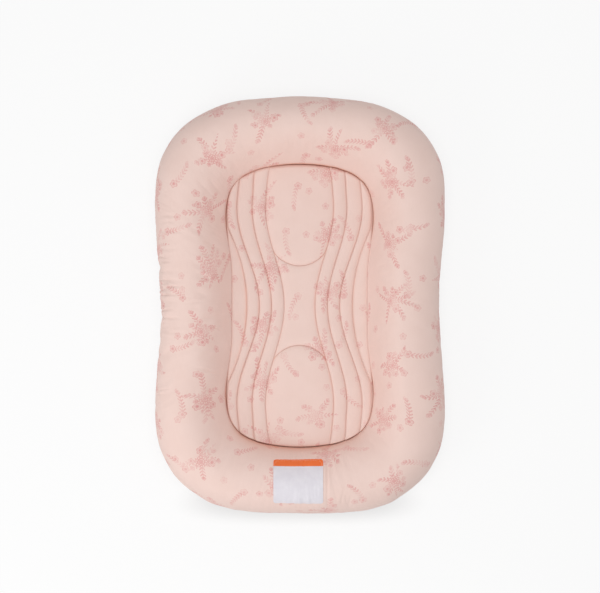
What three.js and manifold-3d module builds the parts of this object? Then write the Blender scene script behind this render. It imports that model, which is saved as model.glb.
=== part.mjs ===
// Infant lounger: a stuffed oval bolster round a moulded, channelled pad, in a zipped cotton cover.
// Millimetres, +Z up, +Y towards the head end, origin on the floor under the middle of the lounger.
import * as THREE from "three";
import { mergeVertices } from "three/addons/utils/BufferGeometryUtils.js";
import Module from "manifold-3d";

const wasm = await Module();
wasm.setup();

// The whole lounger, seen from above: a rounded oblong, drawn in a little at the waist.
const LENGTH = 737;
const WIDTH = 513;
const HEIGHT = 114;
const WAIST_INSET = 10.6;
const WAIST_REACH = 177;
const BODY_CORNER_POWER = 7;

// The pad in the middle: its outline widens from the waist to the shoulders.
const PAD_LENGTH = 501;
const PAD_WAIST_WIDTH = 240;
const PAD_SHOULDER_WIDTH = 263;
const FLARE_START = 50;
const FLARE_END = 167;
const PAD_CORNER_POWER = 9.4;
const PAD_SIDE_END = 160;

// Grooves of the pad, as half-widths from the midline that swing between waist and shoulder.
const GROOVE_HALF_WAVE = 173.4;
const GROOVES = [
  { middle: 43.9, swing: 16.5 },
  { middle: 66.7, swing: 17.2 },
  { middle: 91.0, swing: 20.0 },
];
const LENS_WAIST = 93.1;
const LENS_FLARE = 34.4;
const LENS_REACH = 138;
const LENS_TIP = 3;
const OVAL_START = 71.7;
const OVAL_ROUND = 23;
const OVAL_ROUND_POWER = 2.8;

// Section of the bolster: heights where its walls stand upright, and how far they tuck in below.
const OUTER_EQUATOR_Z = 45;
const INNER_EQUATOR_Z = 48;
const OUTER_TUCK = 17;
const INNER_TUCK = 19;
const CREST_SHARE = 0.5;
const CROWN_POWER = 0.9;
const BASE_SEAM_Z = 14;
const DECK_SEAM_Z = 28.3;

// Cloth, fillings and the clearance between layers.
const COVER_CLOTH = 1.2;
const TICKING = 0.8;
const LAYER_GAP = 0.3;
const SEAM_GAP = 1.6;
const DECK_Z = 9;
const FIRM_PAD_THICKNESS = 12;
const PANEL_CREASE_HEIGHT = 15;
const PANEL_EDGE_HEIGHT = 7;
const PANEL_EDGE_ROUND = 14;
const BAND_CROWN = 3.6;
const OVAL_CROWN = 5;
const NECK_CROWN = 2.4;
const NECK_SHOULDER_POWER = 6;

// Zip along the middle of the underside.
const ZIP_END_MARGIN = 54.5;
const ZIP_OPENING_MARGIN = 14;
const ZIP_SLOT_HALF = 9;
const ZIP_TAPE_WIDTH = 11;
const ZIP_TAPE_THICKNESS = 0.7;
const ZIP_TAPE_OVERRUN = 8;
const COIL_WIDTH = 1.6;
const COIL_HEIGHT = 2.3;
const DIVIDER_THICKNESS = 0.6;
const SLIDER_LENGTH = 13;
const SLIDER_WIDTH = 9.4;
const SLIDER_PLATE = 1.2;
const SLIDER_CORNER = 2.4;
const FLANGE_WIDTH = 1;
const STOP_LENGTH = 2.8;
const ARCH_LENGTH = 10;
const ARCH_WIDTH = 2.2;
const ARCH_BAR = 1;
const ARCH_OPENING = 2.8;
const PULL_LENGTH = 27;
const PULL_WIDTH = 8;
const PULL_THICKNESS = 1.2;
const PULL_WINDOW_LENGTH = 8;
const PULL_WINDOW_WIDTH = 3.8;
const PULL_HOLE_RADIUS = 1.4;
const PULL_FLOOR_GAP = 0.3;

// Blank patch sewn on the foot end of the bolster, and the blank care tag under the deck.
const PATCH_WIDTH = 87.3;
const PATCH_LENGTH = 75.2;
const PATCH_OFFSET = -2.7;
const PATCH_FOOT_MARGIN = 19.9;
const PATCH_THICKNESS = 0.5;
const TAG_WIDTH = 32;
const TAG_LENGTH = 46;
const TAG_THICKNESS = 0.4;
const TAG_FROM_ZIP = 44;
const TAG_FROM_ZIP_END = 53;

// Counts of facets.
const STATIONS = 56;
const RAIL_SAMPLES = 2400;
const CROWN_STEPS = 4;
const PATCH_STEPS = 8;
const BAND_STEPS = 3;
const CENTRE_STEPS = 4;
const LENS_STEPS = 2;
const NECK_ROWS = 5;
const OVAL_ROWS = 10;
const ROW_CROWDING = 1.5;
const CURVE_SEGMENTS = 5;
const HALVINGS = 40;

const bodyHalfLength = LENGTH / 2;
const bodyHalfWidth = WIDTH / 2;
const padHalfLength = PAD_LENGTH / 2;
const zipEnd = padHalfLength - ZIP_END_MARGIN;
const halfTurn = Math.PI;
const quarterTurn = Math.PI / 2;

const mix = (a, b, share) => a + (b - a) * share;
const clamp01 = (value) => Math.min(Math.max(value, 0), 1);
const smooth = (share) => THREE.MathUtils.smoothstep(share, 0, 1);
// Rises from 0 at both ends of a share to 1 in the middle.
const hump = (share) => 1 - (2 * share - 1) ** 2;

// Finds where a rising function of a number between low and high crosses zero.
function crossing(rising, low, high) {
  for (let step = 0; step < HALVINGS; step += 1) {
    const middle = (low + high) / 2;
    if (rising(middle) < 0) low = middle;
    else high = middle;
  }
  return (low + high) / 2;
}

// Half-width of the whole lounger at a distance from its waist: a cosine dip at the waist.
function bodySide(y) {
  const dip = Math.abs(y) < WAIST_REACH ? (1 + Math.cos((halfTurn * y) / WAIST_REACH)) / 2 : 0;
  return bodyHalfWidth - WAIST_INSET * dip;
}

// Half-width of the pad at a distance from its waist, before its ends are rounded.
function padSide(y) {
  const flare = smooth(clamp01((Math.abs(y) - FLARE_START) / (FLARE_END - FLARE_START)));
  return mix(PAD_WAIST_WIDTH, PAD_SHOULDER_WIDTH, flare) / 2;
}

// Superellipse outlines: a turn round them gives one point of the plan.
function outlinePoint(turn, halfLength, side, power) {
  const y = halfLength * Math.sign(Math.sin(turn)) * Math.pow(Math.abs(Math.sin(turn)), 2 / power);
  return new THREE.Vector2(side(y) * Math.cos(turn), y);
}

// A closed outline measured along its length, so that stations can be spread evenly in each quarter.
function makeRail(halfLength, side, power) {
  const points = [];
  for (let k = 0; k <= RAIL_SAMPLES; k += 1) {
    points.push(outlinePoint((k / RAIL_SAMPLES) * quarterTurn, halfLength, side, power));
  }
  const reach = [0];
  for (let k = 1; k <= RAIL_SAMPLES; k += 1) reach.push(reach[k - 1] + points[k].distanceTo(points[k - 1]));
  const total = reach[RAIL_SAMPLES];
  const onQuarter = (share) => {
    const goal = share * total;
    let k = reach.findIndex((length) => length >= goal);
    if (k < 1) k = share > 0 ? RAIL_SAMPLES : 1;
    const part = (goal - reach[k - 1]) / (reach[k] - reach[k - 1]);
    return points[k - 1].clone().lerp(points[k], part);
  };
  return (turnShare) => {
    const quarters = (turnShare - Math.floor(turnShare)) * 4;
    const quarter = Math.floor(quarters);
    const share = quarters - quarter;
    const point = onQuarter(quarter % 2 === 0 ? share : 1 - share);
    const left = quarter === 1 || quarter === 2;
    return new THREE.Vector2(left ? -point.x : point.x, quarter > 1 ? -point.y : point.y);
  };
}

const padRail = makeRail(padHalfLength, padSide, PAD_CORNER_POWER);
const bodyRail = makeRail(bodyHalfLength, bodySide, BODY_CORNER_POWER);

// A station is an upright plane across the bolster, from the pad's outline to the outer outline.
function stationAt(turnShare) {
  const inner = padRail(turnShare);
  const outer = bodyRail(turnShare);
  const width = inner.distanceTo(outer);
  const across = outer.clone().sub(inner).divideScalar(width);
  return { inner, outer, width, across };
}

// Section of the bolster in four quarter arcs. Phase 0 is the outer foot, 1 the outer wall, 2 the crest,
// 3 the wall beside the pad, 4 the inner foot. The result is the distance across the bolster and the height.
function sectionCurve(phase, width) {
  const quarter = Math.min(Math.floor(phase), 3);
  const turn = (phase - quarter) * quarterTurn;
  const crest = width * CREST_SHARE;
  const rise = (value) => Math.pow(Math.max(value, 0), CROWN_POWER);
  if (quarter === 0) {
    return [width - OUTER_TUCK * (1 - Math.sin(turn)), OUTER_EQUATOR_Z * (1 - Math.cos(turn))];
  }
  if (quarter === 1) {
    const distance = crest + (width - crest) * rise(Math.cos(turn));
    return [distance, mix(OUTER_EQUATOR_Z, HEIGHT, rise(Math.sin(turn)))];
  }
  if (quarter === 2) {
    return [crest * (1 - rise(Math.sin(turn))), mix(INNER_EQUATOR_Z, HEIGHT, rise(Math.cos(turn)))];
  }
  return [INNER_TUCK * (1 - Math.cos(turn)), INNER_EQUATOR_Z * (1 - Math.sin(turn))];
}

// The same section moved inwards by a depth along its own normal.
const PHASE_STEP = 0.002;
function section(phase, width, depth) {
  const here = sectionCurve(phase, width);
  const before = sectionCurve(Math.max(phase - PHASE_STEP, 0), width);
  const after = sectionCurve(Math.min(phase + PHASE_STEP, 4), width);
  const along = [after[0] - before[0], after[1] - before[1]];
  const length = Math.hypot(along[0], along[1]);
  const inwards = [-along[1] / length, along[0] / length];
  return [here[0] + inwards[0] * depth, here[1] + inwards[1] * depth];
}

const outerPhaseAt = (z) => Math.acos(1 - z / OUTER_EQUATOR_Z) / quarterTurn;
const innerPhaseAt = (z) => 3 + Math.asin(1 - z / INNER_EQUATOR_Z) / quarterTurn;

function place(station, [distance, z]) {
  const plan = station.across.clone().multiplyScalar(distance).add(station.inner);
  return [plan.x, plan.y, z];
}

// Collects points and faces and turns them into a closed body whose faces point out.
class Body {
  constructor() {
    this.points = [];
    this.faces = [];
  }

  grid(rows) {
    return rows.map((row) => row.map((point) => this.points.push(point) - 1));
  }

  quad(a, b, c, d) {
    this.faces.push([a, b, c], [a, c, d]);
  }

  geometry() {
    let volume = 0;
    const corner = new THREE.Vector3();
    for (const face of this.faces) {
      const [a, b, c] = face.map((index) => new THREE.Vector3(...this.points[index]));
      volume += a.dot(corner.crossVectors(b, c));
    }
    const faces = volume < 0 ? this.faces.map(([a, b, c]) => [a, c, b]) : this.faces;
    const geometry = new THREE.BufferGeometry();
    geometry.setAttribute("position", new THREE.Float32BufferAttribute(this.points.flat(), 3));
    geometry.setIndex(faces.flat());
    return geometry;
  }
}

// A skin between two grids of points. Rows run along the piece, and "closed" joins the last to the first.
function skin(outerRows, innerRows, { closed = false, cap = null } = {}) {
  const body = new Body();
  const outer = body.grid(outerRows);
  const inner = body.grid(innerRows);
  const last = outer[0].length - 1;
  const count = outer.length;
  const spans = closed ? count : count - 1;
  const outerCap = cap ? body.points.push(cap[0]) - 1 : null;
  const innerCap = cap ? body.points.push(cap[1]) - 1 : null;
  for (let i = 0; i < spans; i += 1) {
    const k = (i + 1) % count;
    for (let j = 0; j < last; j += 1) {
      body.quad(outer[i][j], outer[k][j], outer[k][j + 1], outer[i][j + 1]);
      body.quad(inner[i][j], inner[i][j + 1], inner[k][j + 1], inner[k][j]);
    }
    body.quad(outer[k][0], outer[i][0], inner[i][0], inner[k][0]);
    if (cap) {
      body.faces.push([outer[i][last], outer[k][last], outerCap], [inner[k][last], inner[i][last], innerCap]);
    } else {
      body.quad(outer[i][last], outer[k][last], inner[k][last], inner[i][last]);
    }
  }
  if (!closed) {
    const end = count - 1;
    for (let j = 0; j < last; j += 1) {
      body.quad(outer[0][j], outer[0][j + 1], inner[0][j + 1], inner[0][j]);
      body.quad(outer[end][j + 1], outer[end][j], inner[end][j], inner[end][j + 1]);
    }
  }
  return body.geometry();
}

// A ring whose section is a closed loop of points.
function ring(rows) {
  const body = new Body();
  const index = body.grid(rows);
  const count = rows.length;
  const around = rows[0].length;
  for (let i = 0; i < count; i += 1) {
    const k = (i + 1) % count;
    for (let j = 0; j < around; j += 1) {
      const n = (j + 1) % around;
      body.quad(index[i][j], index[k][j], index[k][n], index[i][n]);
    }
  }
  return body.geometry();
}

// A mound: a shaped top over a flat bottom at one height.
function mound(topRows, bottomZ) {
  const body = new Body();
  const top = body.grid(topRows);
  const rows = top.length - 1;
  const columns = top[0].length - 1;
  for (let i = 0; i < rows; i += 1) {
    const next = top[i + 1];
    for (let j = 0; j < columns; j += 1) body.quad(top[i][j], next[j], next[j + 1], top[i][j + 1]);
  }
  const edge = [];
  for (let i = 0; i < rows; i += 1) edge.push(top[i][0]);
  for (let j = 0; j < columns; j += 1) edge.push(top[rows][j]);
  for (let i = rows; i > 0; i -= 1) edge.push(top[i][columns]);
  for (let j = columns; j > 0; j -= 1) edge.push(top[0][j]);
  const foot = edge.map((index) => {
    const [x, y] = body.points[index];
    return body.points.push([x, y, bottomZ]) - 1;
  });
  const centre = body.points.push([0, 0, bottomZ]) - 1;
  edge.forEach((index, k) => {
    const next = (k + 1) % edge.length;
    body.quad(edge[next], index, foot[k], foot[next]);
    body.faces.push([foot[next], foot[k], centre]);
  });
  return body.geometry();
}

const outlineShape = (points) => new THREE.Shape(points.map(([x, y]) => new THREE.Vector2(x, y)));

function slab(shape, bottomZ, thickness) {
  const geometry = new THREE.ExtrudeGeometry(shape, {
    depth: thickness, bevelEnabled: false, curveSegments: CURVE_SEGMENTS,
  });
  return geometry.translate(0, 0, bottomZ);
}

function block(x0, x1, y0, y1, z0, z1) {
  const geometry = new THREE.BoxGeometry(x1 - x0, y1 - y0, z1 - z0);
  return geometry.translate((x0 + x1) / 2, (y0 + y1) / 2, (z0 + z1) / 2);
}

function roundedRectangle(width, length, radius) {
  const x = width / 2;
  const y = length / 2;
  const shape = new THREE.Shape();
  shape.moveTo(-x + radius, -y);
  shape.lineTo(x - radius, -y);
  shape.absarc(x - radius, -y + radius, radius, -quarterTurn, 0);
  shape.lineTo(x, y - radius);
  shape.absarc(x - radius, y - radius, radius, 0, quarterTurn);
  shape.lineTo(-x + radius, y);
  shape.absarc(-x + radius, y - radius, radius, quarterTurn, halfTurn);
  shape.lineTo(-x, -y + radius);
  shape.absarc(-x + radius, -y + radius, radius, halfTurn, halfTurn + quarterTurn);
  return shape;
}

function toManifold(geometry) {
  const plain = geometry.clone();
  plain.deleteAttribute("normal");
  plain.deleteAttribute("uv");
  const merged = mergeVertices(plain);
  return new wasm.Manifold(new wasm.Mesh({
    numProp: 3,
    vertProperties: new Float32Array(merged.attributes.position.array),
    triVerts: new Uint32Array(merged.index.array),
  }));
}

function fromManifold(solid) {
  const mesh = solid.getMesh();
  const geometry = new THREE.BufferGeometry();
  geometry.setAttribute("position", new THREE.Float32BufferAttribute(mesh.vertProperties, 3));
  geometry.setIndex(Array.from(mesh.triVerts));
  return geometry;
}

const join = (pieces) => fromManifold(pieces.map(toManifold).reduce((whole, piece) => whole.add(piece)));

// Heights of the layers, from the floor up.
const tapeZ = DECK_Z + COVER_CLOTH + LAYER_GAP;
const coilZ = tapeZ + ZIP_TAPE_THICKNESS / 2 - COIL_HEIGHT / 2;
const sliderBottomZ = coilZ - LAYER_GAP - SLIDER_PLATE;
const sliderTopZ = coilZ + COIL_HEIGHT + LAYER_GAP;
const casingDeckZ = sliderTopZ + SLIDER_PLATE + LAYER_GAP;
const firmPadZ = casingDeckZ + TICKING + LAYER_GAP;
const liningZ = firmPadZ + FIRM_PAD_THICKNESS + LAYER_GAP;
const panelZ = liningZ + TICKING + LAYER_GAP;
const creaseZ = panelZ + PANEL_CREASE_HEIGHT;
const panelEdgeZ = panelZ + PANEL_EDGE_HEIGHT;

// How deep each layer of the bolster lies under its outer surface.
const casingDepth = COVER_CLOTH + LAYER_GAP;
const fillDepth = casingDepth + TICKING + LAYER_GAP;

const stations = Array.from({ length: STATIONS }, (unused, k) => stationAt(k / STATIONS));
const baseSeamPhase = outerPhaseAt(BASE_SEAM_Z);
const deckSeamPhase = innerPhaseAt(DECK_SEAM_Z);
const crownPhases = (steps) => Array.from({ length: 2 * steps + 1 }, (unused, k) => 1 + k / steps);

function rowsAt(phases, depth, along = stations) {
  return along.map((station) => phases.map((phase) => place(station, section(phase, station.width, depth))));
}

// Printed skin of the bolster, from the seam low on its outside, over the crown, to the seam at the pad.
function bolsterCover() {
  const phases = [baseSeamPhase, ...crownPhases(CROWN_STEPS), deckSeamPhase];
  return skin(rowsAt(phases, 0), rowsAt(phases, COVER_CLOTH), { closed: true });
}

// Ticking of the inner cushion over the crown, nested in the printed skin.
function casingTop() {
  const innerSeam = innerPhaseAt(firmPadZ + LAYER_GAP);
  const phases = [baseSeamPhase, ...crownPhases(CROWN_STEPS / 2), deckSeamPhase, innerSeam];
  return skin(rowsAt(phases, casingDepth), rowsAt(phases, casingDepth + TICKING), { closed: true });
}

// Fibre filling of the bolster.
function bolsterFill() {
  const phases = [0, baseSeamPhase, ...crownPhases(CROWN_STEPS / 2), deckSeamPhase, 4];
  return ring(rowsAt(phases, fillDepth));
}

// Underside of the ring and the raised deck under the pad, from the base seam to a goal line inside.
function undersideRows(along, depth, deckPhase, deckZ, seamPhase, goal) {
  return along.map((station) => {
    const ringPart = [seamPhase, 0, 4].map((phase) => place(station, section(phase, station.width, depth)));
    const [turnDistance] = section(deckPhase, station.width, depth);
    return [...ringPart, place(station, [turnDistance, deckZ]), [...goal(station), deckZ]];
  });
}

const stitchGap = LAYER_GAP / (OUTER_EQUATOR_Z * quarterTurn);
const lowerSeamPhase = baseSeamPhase - stitchGap;

// Plain cotton underside, one half on each side of the zip, closed by a centre seam past the zip's ends.
const zipOpeningHalf = zipEnd + ZIP_OPENING_MARGIN;
const DECK_GOAL_SHARE = 0.87;
function basePanel(side) {
  const half = stations.length / 2;
  const quarter = half / 2;
  const along = Array.from({ length: half + 1 }, (unused, k) => {
    const index = side > 0 ? k - quarter : k + quarter;
    return stations[(index + stations.length) % stations.length];
  });
  const seamX = (y) => {
    const opening = clamp01((zipOpeningHalf - Math.abs(y)) / ZIP_SLOT_HALF);
    return mix(LAYER_GAP / 2, ZIP_SLOT_HALF, opening);
  };
  const goal = (station) => {
    const y = station.inner.y * DECK_GOAL_SHARE;
    return [side * seamX(y), y];
  };
  const atSeam = (rows) => rows.map((row) => row.map(([x, y, z]) => {
    return [side * Math.max(side * x, LAYER_GAP / 2), y, z];
  }));
  const phase = innerPhaseAt(DECK_Z);
  const outer = undersideRows(along, 0, phase, DECK_Z, lowerSeamPhase, goal);
  const inner = undersideRows(along, COVER_CLOTH, phase, DECK_Z + COVER_CLOTH, lowerSeamPhase, goal);
  return skin(atSeam(outer), atSeam(inner));
}

// Ticking under the whole inner cushion.
const CASING_GOAL_SHARE = 0.5;
function casingBase() {
  const goal = (station) => [station.inner.x * CASING_GOAL_SHARE, station.inner.y * CASING_GOAL_SHARE];
  const phase = innerPhaseAt(casingDeckZ);
  const upperZ = casingDeckZ + TICKING;
  const outer = undersideRows(stations, casingDepth, phase, casingDeckZ, lowerSeamPhase, goal);
  const inner = undersideRows(stations, casingDepth + TICKING, phase, upperZ, lowerSeamPhase, goal);
  return skin(outer, inner, { closed: true, cap: [[0, 0, casingDeckZ], [0, 0, upperZ]] });
}

// Half-widths of the pad's edge, drawn in from the bolster by the seam.
const padEdge = (y) => {
  const end = Math.pow(clamp01(Math.abs(y) / padHalfLength), PAD_CORNER_POWER);
  return padSide(y) * Math.sqrt(1 - end) - SEAM_GAP;
};

// Lines that run the length of the pad: midline, three swinging grooves, the lens groove and the edge.
function padLine(number, y) {
  if (number === 0) return 0;
  if (number <= GROOVES.length) {
    const groove = GROOVES[number - 1];
    return groove.middle - groove.swing * Math.cos((halfTurn * y) / GROOVE_HALF_WAVE);
  }
  const edge = padSide(y) - SEAM_GAP;
  const lens = LENS_WAIST + LENS_FLARE * (y / LENS_REACH) ** 2;
  return number === GROOVES.length + 1 ? Math.min(lens, edge - LENS_TIP) : edge;
}

// One column of the pad lies at a share between two lines and ends where it meets the rounded outline.
function padColumn(number, share) {
  const width = (y) => mix(padLine(number, y), padLine(number + 1, y), share);
  const onEdge = number === GROOVES.length + 1 && share === 1;
  const endY = onEdge ? PAD_SIDE_END : crossing((y) => width(y) - padEdge(y), 0, padHalfLength - SEAM_GAP);
  return { number, share, endY, width: onEdge ? padEdge : width };
}

function padColumns() {
  const steps = [CENTRE_STEPS, ...GROOVES.slice(1).map(() => BAND_STEPS), BAND_STEPS, LENS_STEPS];
  const half = steps.flatMap((count, number) => {
    return Array.from({ length: count }, (unused, k) => padColumn(number, (k + 1) / count));
  });
  const right = half.map((column) => ({ ...column, side: 1 }));
  const left = half.map((column) => ({ ...column, side: -1 })).reverse();
  return [...left, { ...padColumn(0, 0), side: 1 }, ...right];
}

// Moulded pad: domed bands between sharp grooves, and a domed oval at head and foot.
function centrePanel() {
  const rowShares = [];
  for (let k = 0; k < NECK_ROWS; k += 1) rowShares.push([k / NECK_ROWS, 0]);
  for (let k = 0; k <= OVAL_ROWS; k += 1) rowShares.push([1, 1 - Math.pow(1 - k / OVAL_ROWS, ROW_CROWDING)]);
  const down = rowShares.slice(1).reverse().map((shares) => [-1, ...shares]);
  const up = rowShares.map((shares) => [1, ...shares]);
  const rows = [...down, ...up].map(([end, neck, oval]) => padColumns().map((column) => {
    const inCentre = column.number === 0 ? column.share : 1;
    const ovalY = OVAL_START + OVAL_ROUND * Math.pow(inCentre, OVAL_ROUND_POWER);
    const y = oval > 0 ? mix(ovalY, column.endY, oval) : ovalY * neck;
    const across = column.number === 0 ? 1 - inCentre ** 2 : hump(column.share);
    const alongNeck = 1 - neck ** NECK_SHOULDER_POWER;
    const centreCrown = oval > 0 ? OVAL_CROWN * Math.sqrt(hump(oval)) : NECK_CROWN * alongNeck;
    const crown = column.number === 0 ? centreCrown : BAND_CROWN;
    const toSide = padEdge(y) - column.width(y);
    const toEdge = clamp01(Math.min(toSide, column.endY - y) / PANEL_EDGE_ROUND);
    const shoulder = Math.sqrt(1 - (1 - toEdge) ** 2);
    const z = mix(panelEdgeZ, creaseZ + crown * across, shoulder);
    return [column.side * column.width(y), end * y, z];
  }));
  return mound(rows, panelZ);
}

// Pad outline as a flat slab inside the ring.
function padSlab(bottomZ, thickness) {
  const points = stations.map(({ inner }) => {
    const inset = 1 - SEAM_GAP / inner.length();
    return [inner.x * inset, inner.y * inset];
  });
  return slab(outlineShape(points), bottomZ, thickness);
}

const PATCH_SEARCH_SHARES = [0.6, 0.9];
// A strip of cloth that follows the top of the bolster at a place given in plan.
function patchPoint(x, y, depth) {
  const target = new THREE.Vector2(x, y);
  const beside = (share) => {
    const station = stationAt(share);
    return station.across.cross(target.clone().sub(station.inner));
  };
  const station = stationAt(crossing((share) => -beside(share), ...PATCH_SEARCH_SHARES));
  const distance = target.clone().sub(station.inner).dot(station.across);
  const phase = crossing((value) => distance - sectionCurve(value, station.width)[0], 1, 3);
  return place(station, section(phase, station.width, depth));
}

function labelPatch() {
  const left = PATCH_OFFSET - PATCH_WIDTH / 2;
  const foot = -bodyHalfLength + PATCH_FOOT_MARGIN;
  const rows = (depth) => Array.from({ length: PATCH_STEPS + 1 }, (unused, i) => {
    return Array.from({ length: PATCH_STEPS + 1 }, (none, j) => {
      const x = left + (PATCH_WIDTH * i) / PATCH_STEPS;
      return patchPoint(x, foot + PATCH_LENGTH * (1 - j / PATCH_STEPS), depth);
    });
  });
  return skin(rows(-LAYER_GAP - PATCH_THICKNESS), rows(-LAYER_GAP));
}

function careTag() {
  const z = DECK_Z - LAYER_GAP;
  const y = -zipEnd + TAG_FROM_ZIP_END;
  return block(-TAG_FROM_ZIP - TAG_WIDTH, -TAG_FROM_ZIP, y, y + TAG_LENGTH, z - TAG_THICKNESS, z);
}

// Zip: a coil on each side of a narrow slot, which the slider's divider runs in.
const coilX = DIVIDER_THICKNESS / 2 + LAYER_GAP;
const tapeX = coilX + COIL_WIDTH + LAYER_GAP;
const sliderY = -zipEnd + STOP_LENGTH + LAYER_GAP + SLIDER_LENGTH / 2 + LAYER_GAP;

function sided(side, x0, x1, y0, y1, z0, z1) {
  return side > 0 ? block(x0, x1, y0, y1, z0, z1) : block(-x1, -x0, y0, y1, z0, z1);
}

function zipTape(side) {
  const reach = zipEnd + ZIP_TAPE_OVERRUN;
  return sided(side, tapeX, tapeX + ZIP_TAPE_WIDTH, -reach, reach, tapeZ, tapeZ + ZIP_TAPE_THICKNESS);
}

function zipCoil(side) {
  const reach = zipEnd - STOP_LENGTH - LAYER_GAP;
  return sided(side, coilX, coilX + COIL_WIDTH, -reach, reach, coilZ, coilZ + COIL_HEIGHT);
}

function zipTopStop(side) {
  return sided(side, coilX, coilX + COIL_WIDTH, -zipEnd, -zipEnd + STOP_LENGTH, coilZ, coilZ + COIL_HEIGHT);
}

function zipBottomStop() {
  const reach = coilX + COIL_WIDTH;
  return block(-reach, reach, zipEnd - STOP_LENGTH, zipEnd, coilZ, coilZ + COIL_HEIGHT);
}

// Slider: two plates joined by the divider, flanges that hold the coils, and the arch that carries the pull.
const pivotZ = sliderBottomZ - ARCH_OPENING / 2;
function zipSlider() {
  const plate = roundedRectangle(SLIDER_WIDTH, SLIDER_LENGTH, SLIDER_CORNER);
  const flangeOut = SLIDER_WIDTH / 2;
  const flangeReach = SLIDER_LENGTH / 2 - SLIDER_CORNER;
  const lowFlangeTop = tapeZ - LAYER_GAP;
  const highFlangeFoot = tapeZ + ZIP_TAPE_THICKNESS + LAYER_GAP;
  const weld = SLIDER_PLATE / 2;
  const flange = (side, footZ, topZ) => {
    return sided(side, flangeOut - FLANGE_WIDTH, flangeOut, -flangeReach, flangeReach, footZ, topZ);
  };
  const flanges = [1, -1].flatMap((side) => [
    flange(side, sliderBottomZ + weld, lowFlangeTop),
    flange(side, highFlangeFoot, sliderTopZ + weld),
  ]);
  const divider = block(-DIVIDER_THICKNESS / 2, DIVIDER_THICKNESS / 2, -flangeReach, flangeReach,
    sliderBottomZ + weld, sliderTopZ + weld);
  const archFoot = sliderBottomZ - ARCH_OPENING - ARCH_BAR;
  const archPart = (y0, y1, topZ) => block(-ARCH_WIDTH / 2, ARCH_WIDTH / 2, y0, y1, archFoot, topZ);
  const archReach = ARCH_LENGTH / 2;
  const archBar = archPart(-archReach, archReach, archFoot + ARCH_BAR);
  const archLegs = [
    archPart(-archReach, -archReach + ARCH_BAR, sliderBottomZ + weld),
    archPart(archReach - ARCH_BAR, archReach, sliderBottomZ + weld),
  ];
  const lower = slab(plate, sliderBottomZ, SLIDER_PLATE);
  const upper = slab(plate, sliderTopZ, SLIDER_PLATE);
  return join([lower, upper, divider, ...flanges, archBar, ...archLegs]);
}

// Pull tab: its crossbar lies in the slider's arch, and its window clears the arch as it swings.
function zipPull() {
  const bar = PULL_THICKNESS / 2;
  const x = PULL_WIDTH / 2;
  const shape = new THREE.Shape();
  shape.moveTo(-x, bar);
  shape.lineTo(-x, -PULL_LENGTH + x);
  shape.absarc(0, -PULL_LENGTH + x, x, halfTurn, 2 * halfTurn);
  shape.lineTo(x, bar);
  shape.closePath();
  const windowX = PULL_WINDOW_WIDTH / 2;
  const window = new THREE.Path();
  window.moveTo(-windowX, -bar);
  window.lineTo(windowX, -bar);
  window.lineTo(windowX, -bar - PULL_WINDOW_LENGTH);
  window.lineTo(-windowX, -bar - PULL_WINDOW_LENGTH);
  window.closePath();
  const hole = new THREE.Path();
  hole.absarc(0, -PULL_LENGTH + x, PULL_HOLE_RADIUS, 0, 2 * halfTurn);
  shape.holes.push(window, hole);
  return slab(shape, -PULL_THICKNESS / 2, PULL_THICKNESS);
}
const pullDrop = pivotZ - PULL_THICKNESS / 2 - PULL_FLOOR_GAP;
const pullTilt = Math.asin(pullDrop / PULL_LENGTH);

const MATERIALS = {
  print_cotton: { color: "#eed2c7", roughness: 0.9, metalness: 0 },
  pad_cotton: { color: "#ead0c6", roughness: 0.88, metalness: 0 },
  base_cotton: { color: "#efe4dc", roughness: 0.92, metalness: 0 },
  ticking: { color: "#f3efe8", roughness: 0.92, metalness: 0 },
  fibre: { color: "#f7f6f2", roughness: 0.95, metalness: 0 },
  foam: { color: "#f1e6c8", roughness: 0.95, metalness: 0 },
  label: { color: "#e2dce2", roughness: 0.7, metalness: 0 },
  zip_nylon: { color: "#e6cfc6", roughness: 0.55, metalness: 0 },
  zip_metal: { color: "#b9b6b2", roughness: 0.35, metalness: 0.9 },
};

const lounger = new THREE.Group();

function addPiece(parent, name, geometry, finish) {
  const mesh = new THREE.Mesh(geometry, new THREE.MeshStandardMaterial(MATERIALS[finish]));
  mesh.name = name;
  parent.add(mesh);
  return mesh;
}

addPiece(lounger, "bolster_cover", bolsterCover(), "print_cotton");
addPiece(lounger, "centre_panel", centrePanel(), "pad_cotton");
addPiece(lounger, "panel_lining", padSlab(liningZ, TICKING), "base_cotton");
addPiece(lounger, "base_panel_left", basePanel(-1), "base_cotton");
addPiece(lounger, "base_panel_right", basePanel(1), "base_cotton");
addPiece(lounger, "casing_top", casingTop(), "ticking");
addPiece(lounger, "casing_base", casingBase(), "ticking");
addPiece(lounger, "bolster_fill", bolsterFill(), "fibre");
addPiece(lounger, "firm_pad", padSlab(firmPadZ, FIRM_PAD_THICKNESS), "foam");
addPiece(lounger, "label_patch", labelPatch(), "label");
addPiece(lounger, "care_tag", careTag(), "label");

const zip = new THREE.Group();
for (const [word, side] of [["left", -1], ["right", 1]]) {
  addPiece(zip, `zip_tape_${word}`, zipTape(side), "zip_nylon");
  addPiece(zip, `zip_coil_${word}`, zipCoil(side), "zip_nylon");
  addPiece(zip, `zip_top_stop_${word}`, zipTopStop(side), "zip_metal");
}
addPiece(zip, "zip_bottom_stop", zipBottomStop(), "zip_metal");
const runner = new THREE.Group();
runner.position.y = sliderY;
addPiece(runner, "zip_slider", zipSlider(), "zip_metal");
const pull = addPiece(runner, "zip_pull", zipPull(), "zip_metal");
pull.position.z = pivotZ;
pull.rotation.x = pullTilt;
zip.add(runner);
lounger.add(zip);

export default lounger;
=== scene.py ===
"""Infant lounger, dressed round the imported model: a stuffed cotton bolster and a moulded pad, with the
linings, filling, labels and zip. Metres, +Z up, +Y towards the head end, origin on the floor."""
import math

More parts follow.
